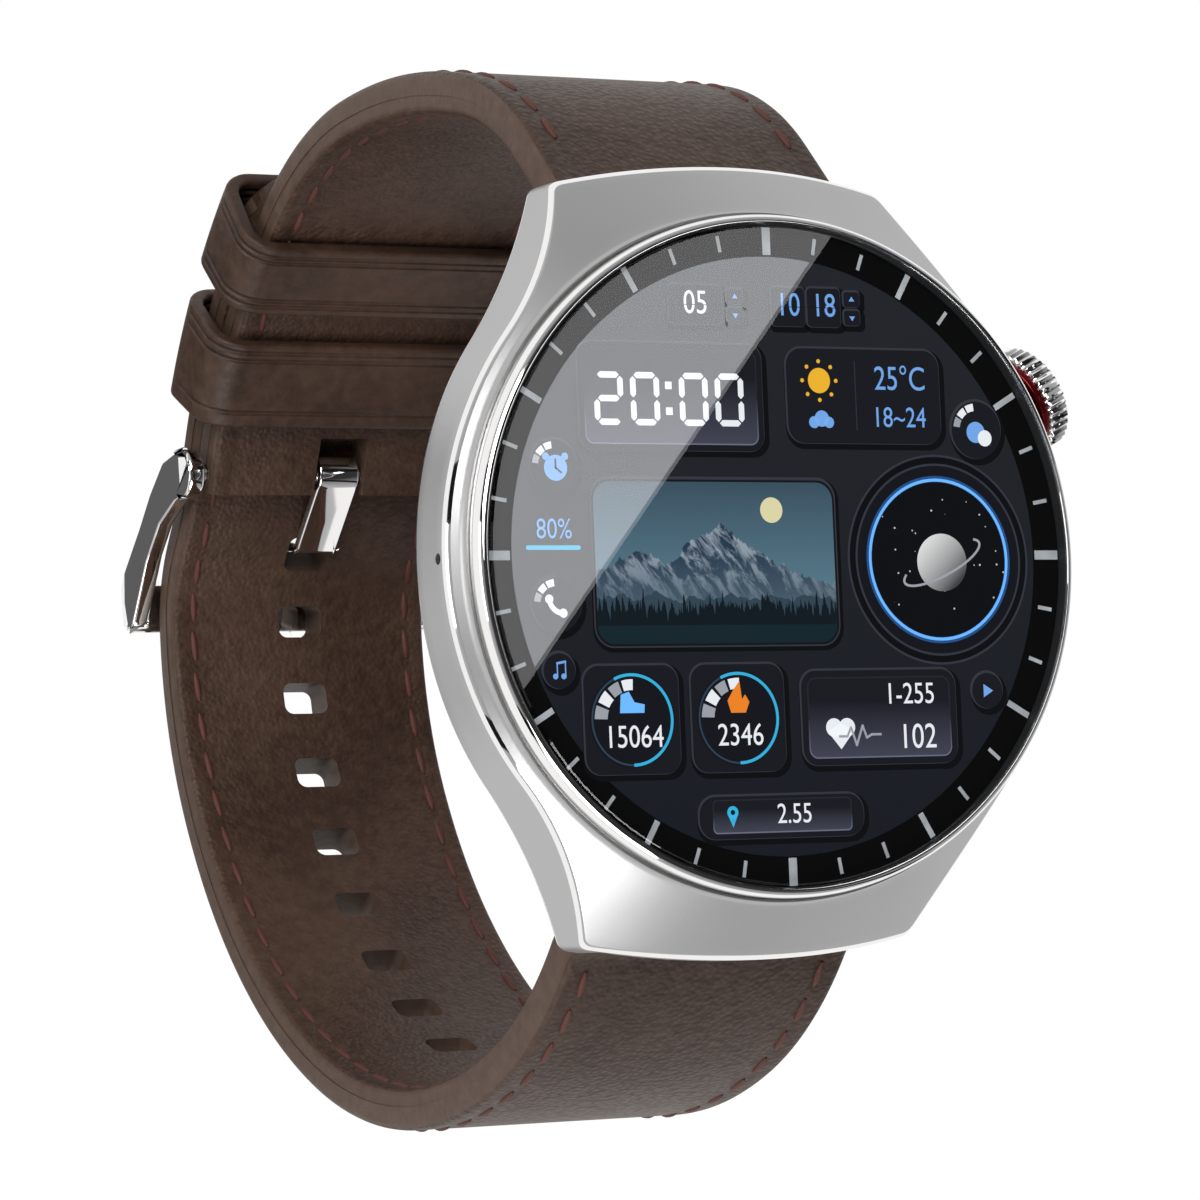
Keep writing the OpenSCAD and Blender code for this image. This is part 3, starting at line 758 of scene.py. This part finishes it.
# Picture: a night sky, snowy peaks with their ridges, mist and a line of firs
def landscape(wire):
    across = wire.axis("X") * (1 / mm)
    height = wire.axis("Y") * (1 / mm)

    def ridge(scale, seed, detail):
        values = {"W": across * scale + seed, "Scale": 1.0, "Detail": detail, "Roughness": 0.62}
        return wire.node("TexNoise", {"noise_dimensions": "1D"}, values)

    sky_share = wire.node("MapRange", None, {0: height, 1: -2.0, 2: 4.8})
    sky = sky_share.mix((0.10, 0.20, 0.26, 1), (0.045, 0.085, 0.12, 1))
    tent = wire.math("ABSOLUTE", across + 4.5)
    side_tent = wire.math("ABSOLUTE", across + 10.5)
    summit = wire.math("MAXIMUM", 1.9 - 0.55 * tent, 0.3 - 0.42 * side_tent)
    summit = wire.math("MAXIMUM", summit, -1.6)
    peaks = summit + (ridge(0.5, 3.7, 6.0) - 0.5) * 2.6
    slanted = wire.node("CombineXYZ", None, {0: across + height * 0.6, 1: height * 0.45, 2: 0.0})
    rough = {"Vector": slanted, "Scale": 1.0, "Detail": 8.0, "Roughness": 0.68, "Distortion": 0.6}
    rock = wire.node("TexNoise", None, rough)
    snow = wire.node("MapRange", None, {0: rock, 1: 0.47, 2: 0.58})
    fog = wire.node("MapRange", None, {0: height, 1: -3.6, 2: 0.4})
    stone = snow.mix((0.02, 0.045, 0.08, 1), (0.30, 0.36, 0.42, 1))
    slope = fog.mix((0.075, 0.12, 0.16, 1), stone)
    land = (height < peaks).mix(sky, slope)
    hills = ridge(0.35, 11.0, 3.0) * 2.2 - 3.9
    land = (height < hills).mix(land, (0.035, 0.065, 0.09, 1))
    firs = ridge(3.2, 5.0, 2.0) * 3.2 + ridge(0.3, 8.0, 1.0) * 1.4 - 5.6
    land = (height < firs).mix(land, (0.004, 0.010, 0.014, 1))
    lake = (height < -4.6).mix(land, (0.006, 0.02, 0.026, 1))
    return {"Emission Color": lake}


left, low_side, right, high_side = -13.85, -5.8, 4.2, 4.85
panel(left - 0.35, low_side - 0.55, right + 0.5, high_side + 0.3, 1.5, 1, panel_shadow)
panel(left - 0.25, low_side - 0.25, right + 0.25, high_side + 0.35, 1.4, 2, panel_light)
panel(left - 0.15, low_side - 0.15, right + 0.15, high_side + 0.15, 1.3, 3, panel_deep)
night_picture = lit("night_picture", (0.1, 0.2, 0.3), 1.0, landscape)
panel(left, low_side, right, high_side, 1.2, 4, night_picture)
disc(-0.5, 3.0, 0.85, 5, moon_pale, 40)

# A plain ringed planet in the round window on the right
window_x, window_y = 12.35, -0.3
planet_x, planet_y = 12.6, -0.5
window_rings = ((7.1, panel_light), (6.95, panel_shadow), (6.5, panel_light), (6.35, panel_deep))
for layer, (radius, tone) in enumerate(window_rings, 1):
    disc(window_x, window_y, radius, layer, tone, 96)


def starry(wire):
    cells = wire.node("TexVoronoi", {"feature": "F1"}, {"Vector": wire.place(), "Scale": 1250.0})
    star = cells < 0.09
    return {"Emission Color": star.mix((0.0025, 0.003, 0.004, 1), (0.55, 0.58, 0.6, 1))}


def planet(wire):
    slant = wire.axis("X") - wire.axis("Y")
    share = wire.node("MapRange", None, {0: slant, 1: 10.6 * mm, 2: 15.6 * mm})
    return {"Emission Color": share.mix((0.78, 0.78, 0.76, 1), (0.06, 0.06, 0.07, 1))}


hoop(window_x, window_y, 5.45, 0.42, 5, lit("glow_soft", (0.02, 0.09, 0.26)))
hoop(window_x, window_y, 5.38, 0.2, 6, glow_blue)
disc(window_x, window_y, 5.25, 5, lit("night_sky", (0, 0, 0), 1.0, starry), 96)
disc(planet_x, planet_y, 1.95, 6, lit("planet_white", (0.7, 0.7, 0.7), 1.0, planet))
tilt = radians(24)
ring_points = []
for i in range(45):
    angle = radians(-205 + i * 5.2)
    u, v = 3.3 * cos(angle), 0.9 * sin(angle)
    ring_x = planet_x + u * cos(tilt) - v * sin(tilt)
    ring_points.append((ring_x, planet_y + u * sin(tilt) + v * cos(tilt)))
line(ring_points, 0.16, 7, soft_grey)

# Steps and calories: two gauges, with a shoe and a flame
hoop_dim = (0.03, 0.06, 0.1)
shoe = [(-0.9, -10.3), (0.9, -10.3), (0.95, -9.75), (0.2, -9.6), (-0.2, -8.9), (-0.8, -9.1)]
flame = [(-0.55, -10.4), (0.55, -10.4), (0.85, -9.7), (0.55, -9.2), (0.3, -9.5), (0.15, -8.3)]
flame += [(-0.35, -8.9), (-0.8, -9.6)]
gauges = ((-11.6, "15064", glow_blue, shoe), (-3.65, "2346", flame_orange, flame))
for x, words, icon, outline in gauges:
    raised_panel(x - 3.5, -14.3, x + 3.5, -7.2, 1.1)
    disc(x, -10.75, 3.15, 4, panel_deep, 96)
    hoop(x, -10.75, 2.95, 0.2, 6, cyan, -90, 205)
    hoop(x, -10.75, 2.95, 0.12, 5, lit("hoop_dim", hoop_dim))
    for i in range(4):
        tone = digit_white if i % 2 else soft_grey
        hoop(x, -10.75, 2.3, 0.95 - 0.08 * i, 6, tone, 178 - i * 24, -19)
    figures(words, x + 0.1, -12.0, 1.5, digit_white, 8)
    shape([(x + u, v) for u, v in outline], 7, icon)

# Heart rate
raised_panel(1.2, -14.0, 13.2, -7.7, 1.1, 0.45)
figures("1-255", 9.6, -9.45, 1.45, digit_white)
figures("102", 10.1, -12.35, 1.7, digit_white)
for side in (-1, 1):
    disc(4.1 + side * 0.5, -11.5, 0.62, 6, digit_white, 40)
shape([(3.08, -11.75), (4.1, -12.95), (5.12, -11.75), (4.1, -11.2)], 6, digit_white)
pulse = [(4.0, -12.1), (4.6, -12.1), (4.9, -11.5), (5.3, -12.7), (5.8, -11.4), (6.1, -12.2)]
line(pulse + [(6.5, -12.0), (7.2, -12.0)], 0.16, 7, soft_grey)

# Play
knob(15.75, -9.2, 1.2, False)
shape([(15.45, -9.65), (16.2, -9.2), (15.45, -8.75)], 6, digit_blue)

# Distance, with a map pin
raised_panel(-6.9, -18.7, 5.6, -15.9, 1.2)
inset(-5.9, -18.35, 4.7, -16.1, 0.35)
disc(-4.4, -16.95, 0.42, 6, cyan, 32)
shape([(-4.78, -17.1), (-4.4, -17.95), (-4.02, -17.1)], 6, cyan)
disc(-4.4, -16.95, 0.17, 7, panel_deep, 20)
figures("2.55", 0.3, -17.25, 1.35, digit_white)

dial_picture = join(shown, "dial_picture")
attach(dial_picture, "case")

# ---------------------------------------------------------------- Crown
# Fluted polished steel on a stem, with a dark red anodised ring behind it. It turns and
# can be pressed.


def softened(node, name, width, finishes, segments=2, angle=25):
    """A merged copy of a CAD piece, with its sharp edges broken."""
    piece = frame["nodes"][node].copy()
    piece.data = piece.data.copy()
    piece.name = name
    piece.parent = None
    for key in list(piece.keys()):
        del piece[key]
    bpy.context.scene.collection.objects.link(piece)
    piece.data.materials.clear()
    coat(piece, finishes)
    edit(piece)
    bpy.ops.mesh.remove_doubles(threshold=weld)
    mode("OBJECT")
    modifier = piece.modifiers.new("edges", "BEVEL")
    modifier.width = width * mm
    modifier.segments = segments
    modifier.limit_method = "ANGLE"
    modifier.angle_limit = radians(angle)
    modifier.use_clamp_overlap = False
    bpy.ops.object.modifier_apply(modifier="edges")
    done(40)
    return piece


crown_face = 24.35
flutes = 36
flute_steps = 8
knob_profile = [(1.0, 1.3), (1.0, 0.51), (3.3, 0.51), (3.56, 0.6), (3.68, 0.76), (3.68, 1.84)]
knob_profile += [(3.58, 2.0), (3.32, 2.2), (2.9, 2.34), (1.8, 2.46), (0.02, 2.5), (0.02, 1.3)]
knob_rings = []
for i in range(flutes * flute_steps):
    angle = tau * i / (flutes * flute_steps)
    wave = 0.5 + 0.5 * cos(tau * i / flute_steps)
    ring = []
    for r, z in knob_profile:
        fluted = r - 0.2 * (1 - wave) ** 0.7 if r > 3.4 else r
        ring.append((fluted * cos(angle), fluted * sin(angle), crown_face + z))
    knob_rings.append(ring)
crown_knob = skin("crown_grip", knob_rings, [polished_steel])
lay_down = crown_way.to_track_quat("Z", "Y").to_matrix().to_4x4()
crown_knob.data.transform(Matrix.Translation(control * mm) @ lay_down)
edit(crown_knob)
outwards()
done(40)
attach(crown_knob, "crown")
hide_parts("crown_knob")
red_look = {"Base Color": (0.17, 0.008, 0.010), "Metallic": 0.85, "Roughness": 0.25}
red_ring = finish("red_ring", red_look)
red = softened("crown_red_ring", "crown_accent", 0.08, [red_ring])
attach(red, "crown")
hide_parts("crown_red_ring")

# ---------------------------------------------------------------- Side button
# A steel key with round ends, flush in its slot, on a short stem.

key = softened("side_button", "side_key_cap", 0.1, [satin_steel])
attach(key, "side_key")
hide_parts("side_button")

# ---------------------------------------------------------------- Strap leather
# Two layers of calf leather, glued and stitched: dark brown outside, with a lining
# on the wrist. The edges are painted. Each strap is folded round its spring bar.


def grained(wire, fine, dark, light):
    """Creased leather: cells with soft furrows between them, over slow changes of tone."""
    values = {"Vector": wire.place(), "Scale": fine, "Smoothness": 0.6}
    cells = wire.node("TexVoronoi", {"feature": "SMOOTH_F1"}, values)
    furrow = wire.node("MapRange", None, {0: cells, 1: 0.75, 2: 0.2})
    creases = wire.noise(fine * 0.4, 6, 0.6)
    height = furrow * 0.6 + creases
    tone = wire.noise(60, 3) * 0.55 + creases * 0.45
    share = wire.node("MapRange", None, {0: tone, 1: 0.36, 2: 0.66})
    return {
        "Base Color": share.mix((*dark, 1), (*light, 1)),
        "Roughness": 0.55 - 0.12 * furrow,
        "Normal": height.bump(0.75, 0.0001),
    }


def painted(wire):
    tone = wire.noise(900, 4).mix((0.036, 0.0205, 0.0135, 1), (0.088, 0.055, 0.039, 1))
    return {"Base Color": tone, "Normal": wire.noise(1400, 5, 0.7).bump(0.6, 0.0001)}


brown_leather = finish(
    "brown_leather",
    {"Roughness": 0.45, "Specular IOR Level": 0.25},
    lambda wire: grained(wire, 2300.0, (0.026, 0.0132, 0.0078), (0.064, 0.0355, 0.0230)),
)
lining_leather = finish(
    "lining_leather",
    {"Roughness": 0.5, "Specular IOR Level": 0.22},
    lambda wire: grained(wire, 2600.0, (0.032, 0.0160, 0.0098), (0.078, 0.0435, 0.0290)),
)
edge_paint = finish("edge_paint", {"Roughness": 0.5, "Specular IOR Level": 0.22}, painted)
thread = finish("thread", {"Base Color": (0.070, 0.015, 0.008), "Roughness": 0.7})

strap_half = 11
strap_t = 3.0
split = -0.2
stitch_x = 9.2


def bend(radius, turn):
    return (radius * radians(abs(turn)), turn)


def joint_at(name):
    place = joint(name)["pos_m"]
    return (place[1] / mm, place[2] / mm)


past_bar = 1.25
short_run = [(7.0, 0), bend(20.8, -31), bend(55.5, -20), bend(26.7, -32), bend(43.0, -30)]
short_run += [(past_bar, 0)]
long_run = [(2.5, 0), bend(4.0, -37), bend(28.0, 27), bend(38.0, 23), bend(38.0, 22)]
long_run += [bend(42.0, 42), bend(32.0, 26), bend(10.0, 36), (2.29, 0), bend(15.0, -15.68)]
long_run += [bend(46.1, 31.68), bend(29.8, 4)]
long_length = sum(length for length, _ in long_run)
bar_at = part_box("upper_bar_tube")
bar_y = (bar_at[0].y + bar_at[1].y) / 2 / mm
bar_z = (bar_at[0].z + bar_at[1].z) / 2 / mm
short_start = (bar_y, bar_z, -45.0)
long_start = (-bar_y, bar_z, -103.0)


def step_on(place, length, turn):
    """Where a stretch ends, from (y, z, heading)."""
    y, z, heading = place
    h = radians(heading)
    if turn == 0:
        return (y + length * cos(h), z + length * sin(h), heading)
    r = length / radians(turn)
    e = radians(heading + turn)
    return (y + r * (sin(e) - sin(h)), z + r * (cos(h) - cos(e)), heading + turn)


def along(place, run, distance):
    """The place on a strap at a distance from its bar."""
    for i, (length, turn) in enumerate(run):
        if distance <= length or i == len(run) - 1:
            return step_on(place, distance, turn * distance / length)
        place = step_on(place, length, turn)
        distance -= length


def stand(place, offset=0.0, x=0.0):
    """The transform that puts a flat thing on the strap: its X across, its Y outwards."""
    y, z, heading = place
    h = radians(heading)
    spot = (x * mm, (y - offset * sin(h)) * mm, (z + offset * cos(h)) * mm)
    turn = Matrix(((1, 0, 0), (0, -sin(h), -cos(h)), (0, cos(h), -sin(h))))
    return Matrix.Translation(spot) @ turn.to_4x4()


def strap_layer(name, place, run, low, high, half, grooved, finishes):
    """One layer of a strap: a flat section, stood on its start and spun along the stretches."""
    bpy.ops.mesh.primitive_plane_add(size=1)
    piece = bpy.context.object
    piece.name = name
    for each in finishes:
        piece.data.materials.append(each)
    edit(piece)
    bpy.ops.transform.resize(value=(2 * half * mm, (high - low) * mm, 1))
    bpy.ops.transform.translate(value=(0, (high + low) / 2 * mm, 0))
    for x in (-stitch_x - 0.4, -stitch_x, -stitch_x + 0.4, stitch_x - 0.4, stitch_x, stitch_x + 0.4):
        select()
        bpy.ops.mesh.bisect(plane_co=(x * mm, 0, 0), plane_no=(1, 0, 0))
    select("DESELECT")
    mode("OBJECT")
    near = 0.01 * mm
    for v in piece.data.vertices:
        if abs(abs(v.co.x) - stitch_x * mm) < near and abs(v.co.y - grooved * mm) < near:
            v.co.y -= copysign(0.08, grooved) * mm
        v.select = abs(v.co.x) > (half - 0.01) * mm and abs(v.co.y - grooved * mm) < near
    mode("EDIT")
    bpy.ops.mesh.bevel(offset=0.55 * mm, segments=5, affect="VERTICES")
    mode("OBJECT")
    piece.data.transform(stand(place))
    edit(piece)
    for length, turn in run:
        y, z, heading = place
        h = radians(heading)
        if turn == 0:
            step = (0, length * cos(h) * mm, length * sin(h) * mm)
            bpy.ops.mesh.extrude_region_move(TRANSFORM_OT_translate={"value": step})
        else:
            r = length / radians(turn)
            centre = (0, (y - r * sin(h)) * mm, (z + r * cos(h)) * mm)
            steps = max(3, round(length / 0.7))
            bpy.ops.mesh.spin(steps=steps, angle=-radians(turn), center=centre, axis=(1, 0, 0))
        place = step_on(place, length, turn)
    outwards()
    mode("OBJECT")
    piece.select_set(False)
    return piece


def edge_faces(piece, number):
    """Gives the painted edges their own finish."""
    for face in piece.data.polygons:
        if abs(face.normal.x) > 0.75 and abs(face.center.x) > (strap_half - 0.5) * mm:
            face.material_index = number


def fold(name, place, radius, bore, low, high, finishes):
    """The round fold of leather at a bar, between two places across the strap."""
    piece = rod((low, place[0], place[1]), (1, 0, 0), radius, high - low, 64, finishes)
    cut(piece, [rod((low - 1, place[0], place[1]), (1, 0, 0), bore, high - low + 2, 48, finishes)])
    piece.name = name

    def outer_rim(a, b):
        middle = (a + b) / 2
        off = hypot(middle.y - place[0] * mm, middle.z - place[1] * mm)
        return abs(a.x - b.x) < 1e-6 and off > (radius - 0.1) * mm

    pick_edges(piece, outer_rim)
    bpy.ops.mesh.bevel(offset=0.4 * mm, segments=4)
    done()
    return piece


# Heights are from the middle of the strap. The linings start 1.7 mm on and are a little narrower.
face = strap_t / 2
lining_half = strap_half - 0.06
outside = [brown_leather, edge_paint]
inside = [lining_leather, edge_paint]
short_leather = strap_layer(
    "short_strap_outside", short_start, short_run, split, face, strap_half, face, outside
)
start, run = along(short_start, short_run, 1.7), [(5.3, 0)] + short_run[1:]
short_lining = strap_layer("short_strap_lining", start, run, -face, split, lining_half, -face, inside)
long_leather = strap_layer(
    "long_strap_outside", long_start, long_run, -face, -split, strap_half, -face, outside
)
start, run = along(long_start, long_run, 1.7), [(0.8, 0)] + long_run[1:]
long_lining = strap_layer("long_strap_lining", start, run, -split, face, lining_half, face, inside)

# Nine holes, square to the strap, with round ends; the one in use is stretched a little.
pin_distance = sum(length for length, _ in long_run[:8]) + 0.75
hole_pitch = 6.55
hole_tools = []
for _ in (long_leather, long_lining):
    tools = []
    for i in range(9):
        length = 3.1 if i == 0 else 2.5
        tool = block((-1.85, -4, -length / 2), (1.85, 4, length / 2), [edge_paint])
        pick_edges(tool, lambda a, b: abs(a.y - b.y) > 1 * mm)
        bpy.ops.mesh.bevel(offset=0.7 * mm, segments=6)
        mode("OBJECT")
        tool.data.transform(stand(along(long_start, long_run, pin_distance - i * hole_pitch)))
        tool.select_set(False)
        tools.append(tool)
    hole_tools.append(tools)
tip_place = along(long_start, long_run, long_length)
tip_heading = radians(tip_place[2])
tip_way = Vector((0, cos(tip_heading), sin(tip_heading)))
tip_spot = Vector((0, tip_place[0], tip_place[1])) * mm
taper = 6
for piece, tools in zip((long_leather, long_lining), hole_tools):
    cut(piece, tools)
    for v in piece.data.vertices:
        from_tip = (tip_spot - v.co).dot(tip_way) / mm
        if from_tip < taper and (v.co - tip_spot).length < 14 * mm:
            v.co.x *= 1 - 0.42 * (1 - max(from_tip, 0) / taper) ** 2.2

# The folded end has a slot that the tang swings in.
buckle_y, buckle_z = joint_at("buckle_swing")
for piece in (short_leather, short_lining):
    low, high = (-2.1, buckle_y - 2.8, buckle_z - 2.8), (2.1, buckle_y + 2.8, buckle_z + 2.8)
    cut(piece, [block(low, high, [edge_paint])])
    cut(piece, [rod((-12, buckle_y, buckle_z), (1, 0, 0), 0.78, 24, 32, [edge_paint])])
leather = [brown_leather]
short_fold = fold("short_strap_fold", short_start, face + 0.02, 0.98, -11, 11, leather)
long_fold = fold("long_strap_fold", long_start, face + 0.02, 1.05, -11, 11, leather)
halves = []
for start, end in ((-10.9, -2.15), (2.15, 10.9)):
    halves.append(fold("half", (buckle_y, buckle_z), face - 0.12, 0.78, start, end, leather))
buckle_fold = join(halves, "short_strap_buckle_fold")
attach(short_fold, "upper_strap")
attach(long_fold, "lower_strap")
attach(buckle_fold, "strap_back")

flex_up = Vector((0, *joint_at("upper_flex"))) * mm
flex_low = Vector((0, *joint_at("lower_flex"))) * mm


def bends(piece):
    """Puts a piece's place into its mesh, the same way for short and long pieces."""
    if piece.name.startswith("short"):
        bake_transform(piece)
    else:
        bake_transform(piece)


for piece in (short_leather, short_lining, long_leather, long_lining):
    edge_faces(piece, 1)
    edit(piece)
    done(38)
    bends(piece)
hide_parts("upper_strap_leather", "upper_end_leather")
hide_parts("upper_strap_lining", "upper_end_lining")
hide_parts("lower_strap_leather", "tail_leather")
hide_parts("lower_strap_lining", "tail_lining")

# ---------------------------------------------------------------- Stitches
# Waxed thread in a saddle stitch, in a furrow along both edges, through both layers.

bpy.ops.mesh.primitive_uv_sphere_add(segments=8, ring_count=6, radius=1)
stitch = bpy.context.object
stitch.data.materials.append(thread)
bpy.ops.object.shade_smooth()
stitch.select_set(False)
for name, place, run, first, last in (
    ("short_strap_stitches", short_start, short_run, 6.0, 66.0),
    ("long_strap_stitches", long_start, long_run, 5.0, long_length - 6),
):
    sewn = []
    count = round((last - first) / 3.4)
    for i in range(count):
        spot = along(place, run, first + (last - first) * (i + 0.5) / count)
        for x in (-stitch_x, stitch_x):
            for side in (-1, 1):
                one = placed("one", stitch.data.copy())
                size = Matrix.Diagonal((0.28 * mm, 0.24 * mm, 1.25 * mm, 1))
                slant = Matrix.Rotation(radians(4 * side), 4, "Y")
                one.data.transform(stand(spot, side * (strap_t / 2 - 0.06), x) @ slant @ size)
                sewn.append(one)
    row = join(sewn, name)
    bends(row)
bpy.data.objects.remove(stitch)

# ---------------------------------------------------------------- Keepers
# Two leather loops that hold the free end down. The lower one is sewn to the short strap.

overlap_y, overlap_z = joint_at("keeper_slide")
crease_angles = {"fixed_keeper": (30.3, 36.6, 37.6), "free_keeper": (43.6, 44.4, 49.6, 50.4)}


def creased_leather(node):
    """Leather with lines pressed in along the loop, at angles about the middle of the overlap."""

    def varied(wire):
        sockets = grained(wire, 2300.0, (0.028, 0.0142, 0.0086), (0.072, 0.0400, 0.0262))
        angle = wire.math("ARCTAN2", wire.axis("Y") - overlap_y * mm, overlap_z * mm - wire.axis("Z"))
        height = wire.noise(1000, 6, 0.6) * 0.35
        for line_at in crease_angles[node]:
            off = wire.math("ABSOLUTE", angle - radians(line_at))
            eased = {"interpolation_type": "SMOOTHSTEP"}
            height = height + wire.node("MapRange", eased, {0: off, 1: 0.0, 2: 0.0062})
        sockets["Normal"] = height.bump(0.9, 0.00022)
        return sockets

    return finish(node + "_leather", {"Roughness": 0.45, "Specular IOR Level": 0.25}, varied)


for node, name, body in (
    ("fixed_keeper", "sewn_keeper", "strap_back"),
    ("free_keeper", "loose_keeper", "sliding_keeper"),
):
    loop = softened(node, name, 0.3, [creased_leather(node)], 4, 50)
    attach(loop, body)
    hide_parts(node)

# ---------------------------------------------------------------- Buckle
# A polished steel frame on a bar through the folded end, with a bent tang.

for node, name, body, width in (
    ("buckle_frame", "buckle_loop", "buckle", 0.35),
    ("buckle_tang", "buckle_tongue", "tang", 0.22),
):
    metal = softened(node, name, width, [polished_steel], 4)
    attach(metal, body)
    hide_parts(node)
dress("buckle_bar", polished_steel)

# ---------------------------------------------------------------- Case back
# A glossy black composite cover with a sensor window in the middle, held by four screws.

cover_look = {"Base Color": (0.012, 0.012, 0.014), "Roughness": 0.12, "Coat Weight": 0.5}
cover_black = finish("cover_black", cover_look)
window_black = finish("window_black", {"Base Color": (0.004, 0.004, 0.006), "Roughness": 0.03})
dress("rear_cover", cover_black)
dress("sensor_lens", window_black)
for node in ("crown_stem", "crown_tube", "case_screws"):
    dress(node, polished_steel)
for end in ("upper", "lower"):
    for part in ("bar_tube", "release_tip"):
        dress(f"{end}_{part}", polished_steel)

# ---------------------------------------------------------------- Setting
# A pale floor under the loop, soft lamps, and a card that the glass reflects.

low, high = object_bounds()
bpy.ops.mesh.primitive_plane_add(size=6, location=(0, 0, low.z - 0.0005))
floor = bpy.context.object
floor.name = "floor"
floor.data.materials.append(lit("floor_white", (1, 1, 1), 1.02, None, 1.0))

turn_left = radians(28.07)
turn_down = radians(-3.80)
lean = radians(-2.34)
tick_ring = 21 * mm
flat = cos(turn_down)
back = Vector((-sin(turn_left) * flat, sin(turn_down), cos(turn_left) * flat))
across = Vector((0, 1, 0)).cross(back).normalized()
up = back.cross(across)
view_right = cos(lean) * across + sin(lean) * up
view_up = -sin(lean) * across + cos(lean) * up
# The eye is placed in radii of the tick ring, from the middle of the glass.
eye_right, eye_up, eye_back = -0.589, -0.145, 15.954
glass_middle = Vector((0, 0, glass_top * mm))
eye = (eye_right * view_right + eye_up * view_up + eye_back * back) * tick_ring + glass_middle
camera_data = bpy.data.cameras.new("camera")
camera_data.lens = 152.03
camera_data.clip_start = 0.01
camera = placed("camera", camera_data)
view = Matrix((view_right, view_up, back)).transposed()
camera.matrix_world = Matrix.Translation(eye) @ view.to_4x4()
bpy.context.scene.camera = camera


def lamp(name, place, aim, size, power):
    data = bpy.data.lights.new(name, "AREA")
    data.energy = power
    data.size = size
    made = placed(name, data)
    made.location = place
    made.rotation_euler = (Vector(aim) - Vector(place)).to_track_quat("-Z", "Y").to_euler()


lamp("key_lamp", (-0.5, 0.35, 0.55), (0, 0, -0.02), 0.5, 7)
lamp("fill_lamp", (-0.25, -0.6, 0.35), (0, 0, -0.03), 0.5, 4)
lamp("side_lamp", (-0.7, 0.0, -0.02), (0, 0, -0.04), 0.3, 1)

# A dim card under the buckle gives its polished sides something to mirror, unseen by the camera.
bpy.ops.mesh.primitive_plane_add(size=1, location=(-0.036, 0.0, low.z - 0.0002))
dim_card = bpy.context.object
dim_card.name = "dim_card"
dim_card.scale = (0.045, 0.075, 1)
dim_shade = shade_across((0.5, 0.5, 0.51), (0.12, 0.12, 0.125), -14, 16)
dim_card.data.materials.append(lit("dim_card_tone", (0, 0, 0), 1.0, dim_shade, 1.0))
dim_card.visible_camera = False

# The card above the glass: one edge runs slantwise over the dial where its reflection ends.
mirror_eye = Vector((eye.x, eye.y, 2 * glass_top * mm - eye.z))
card_distance = 0.62


def over(x, y):
    """The point of the card that shows at (x, y) on the glass, along the reflected ray."""
    spot = Vector((x * mm, y * mm, glass_top * mm))
    return spot + (spot - mirror_eye).normalized() * card_distance


card_corners = [over(x, y) for x, y in ((6.4, 23.65), (-21.8, -11), (-34, 8), (-10, 37))]
card_mesh = bpy.data.meshes.new("card")
card_mesh.from_pydata(card_corners, [], [(0, 1, 2, 3)])
card = placed("card", card_mesh)
card.data.materials.append(lit("card_light", (1, 1, 1), 2.3, None, 1.0))

world = bpy.data.worlds.new("room")
bpy.context.scene.world = world
world.use_nodes = True
room = Wire(world.node_tree)
height = room.node("SeparateXYZ", None, {0: room.node("TexCoord", out=0)}, 2)
stops = [(0.0, (0.9, 0.9, 0.9)), (0.5, (0.5, 0.5, 0.51)), (0.76, (0.3, 0.3, 0.31))]
stops += [(0.9, (0.035, 0.035, 0.038)), (1.0, (0.03, 0.03, 0.03))]
tone = height.node("ValToRGB", {"stops": stops}, {0: height * 0.5 + 0.5})
aside = room.node("SeparateXYZ", None, {0: room.node("TexCoord", out=0)}, 1)
stripe = aside.math("COMPARE", aside, 0.33, 0.12) + aside.math("COMPARE", aside, -0.62, 0.06)
tone = stripe.mix(tone, (0.01, 0.01, 0.01, 1))
world.node_tree.links.new(tone.socket, world.node_tree.nodes["Background"].inputs["Color"])
world.node_tree.nodes["Background"].inputs["Strength"].default_value = 1.0
bpy.context.scene.view_settings.view_transform = "Standard"
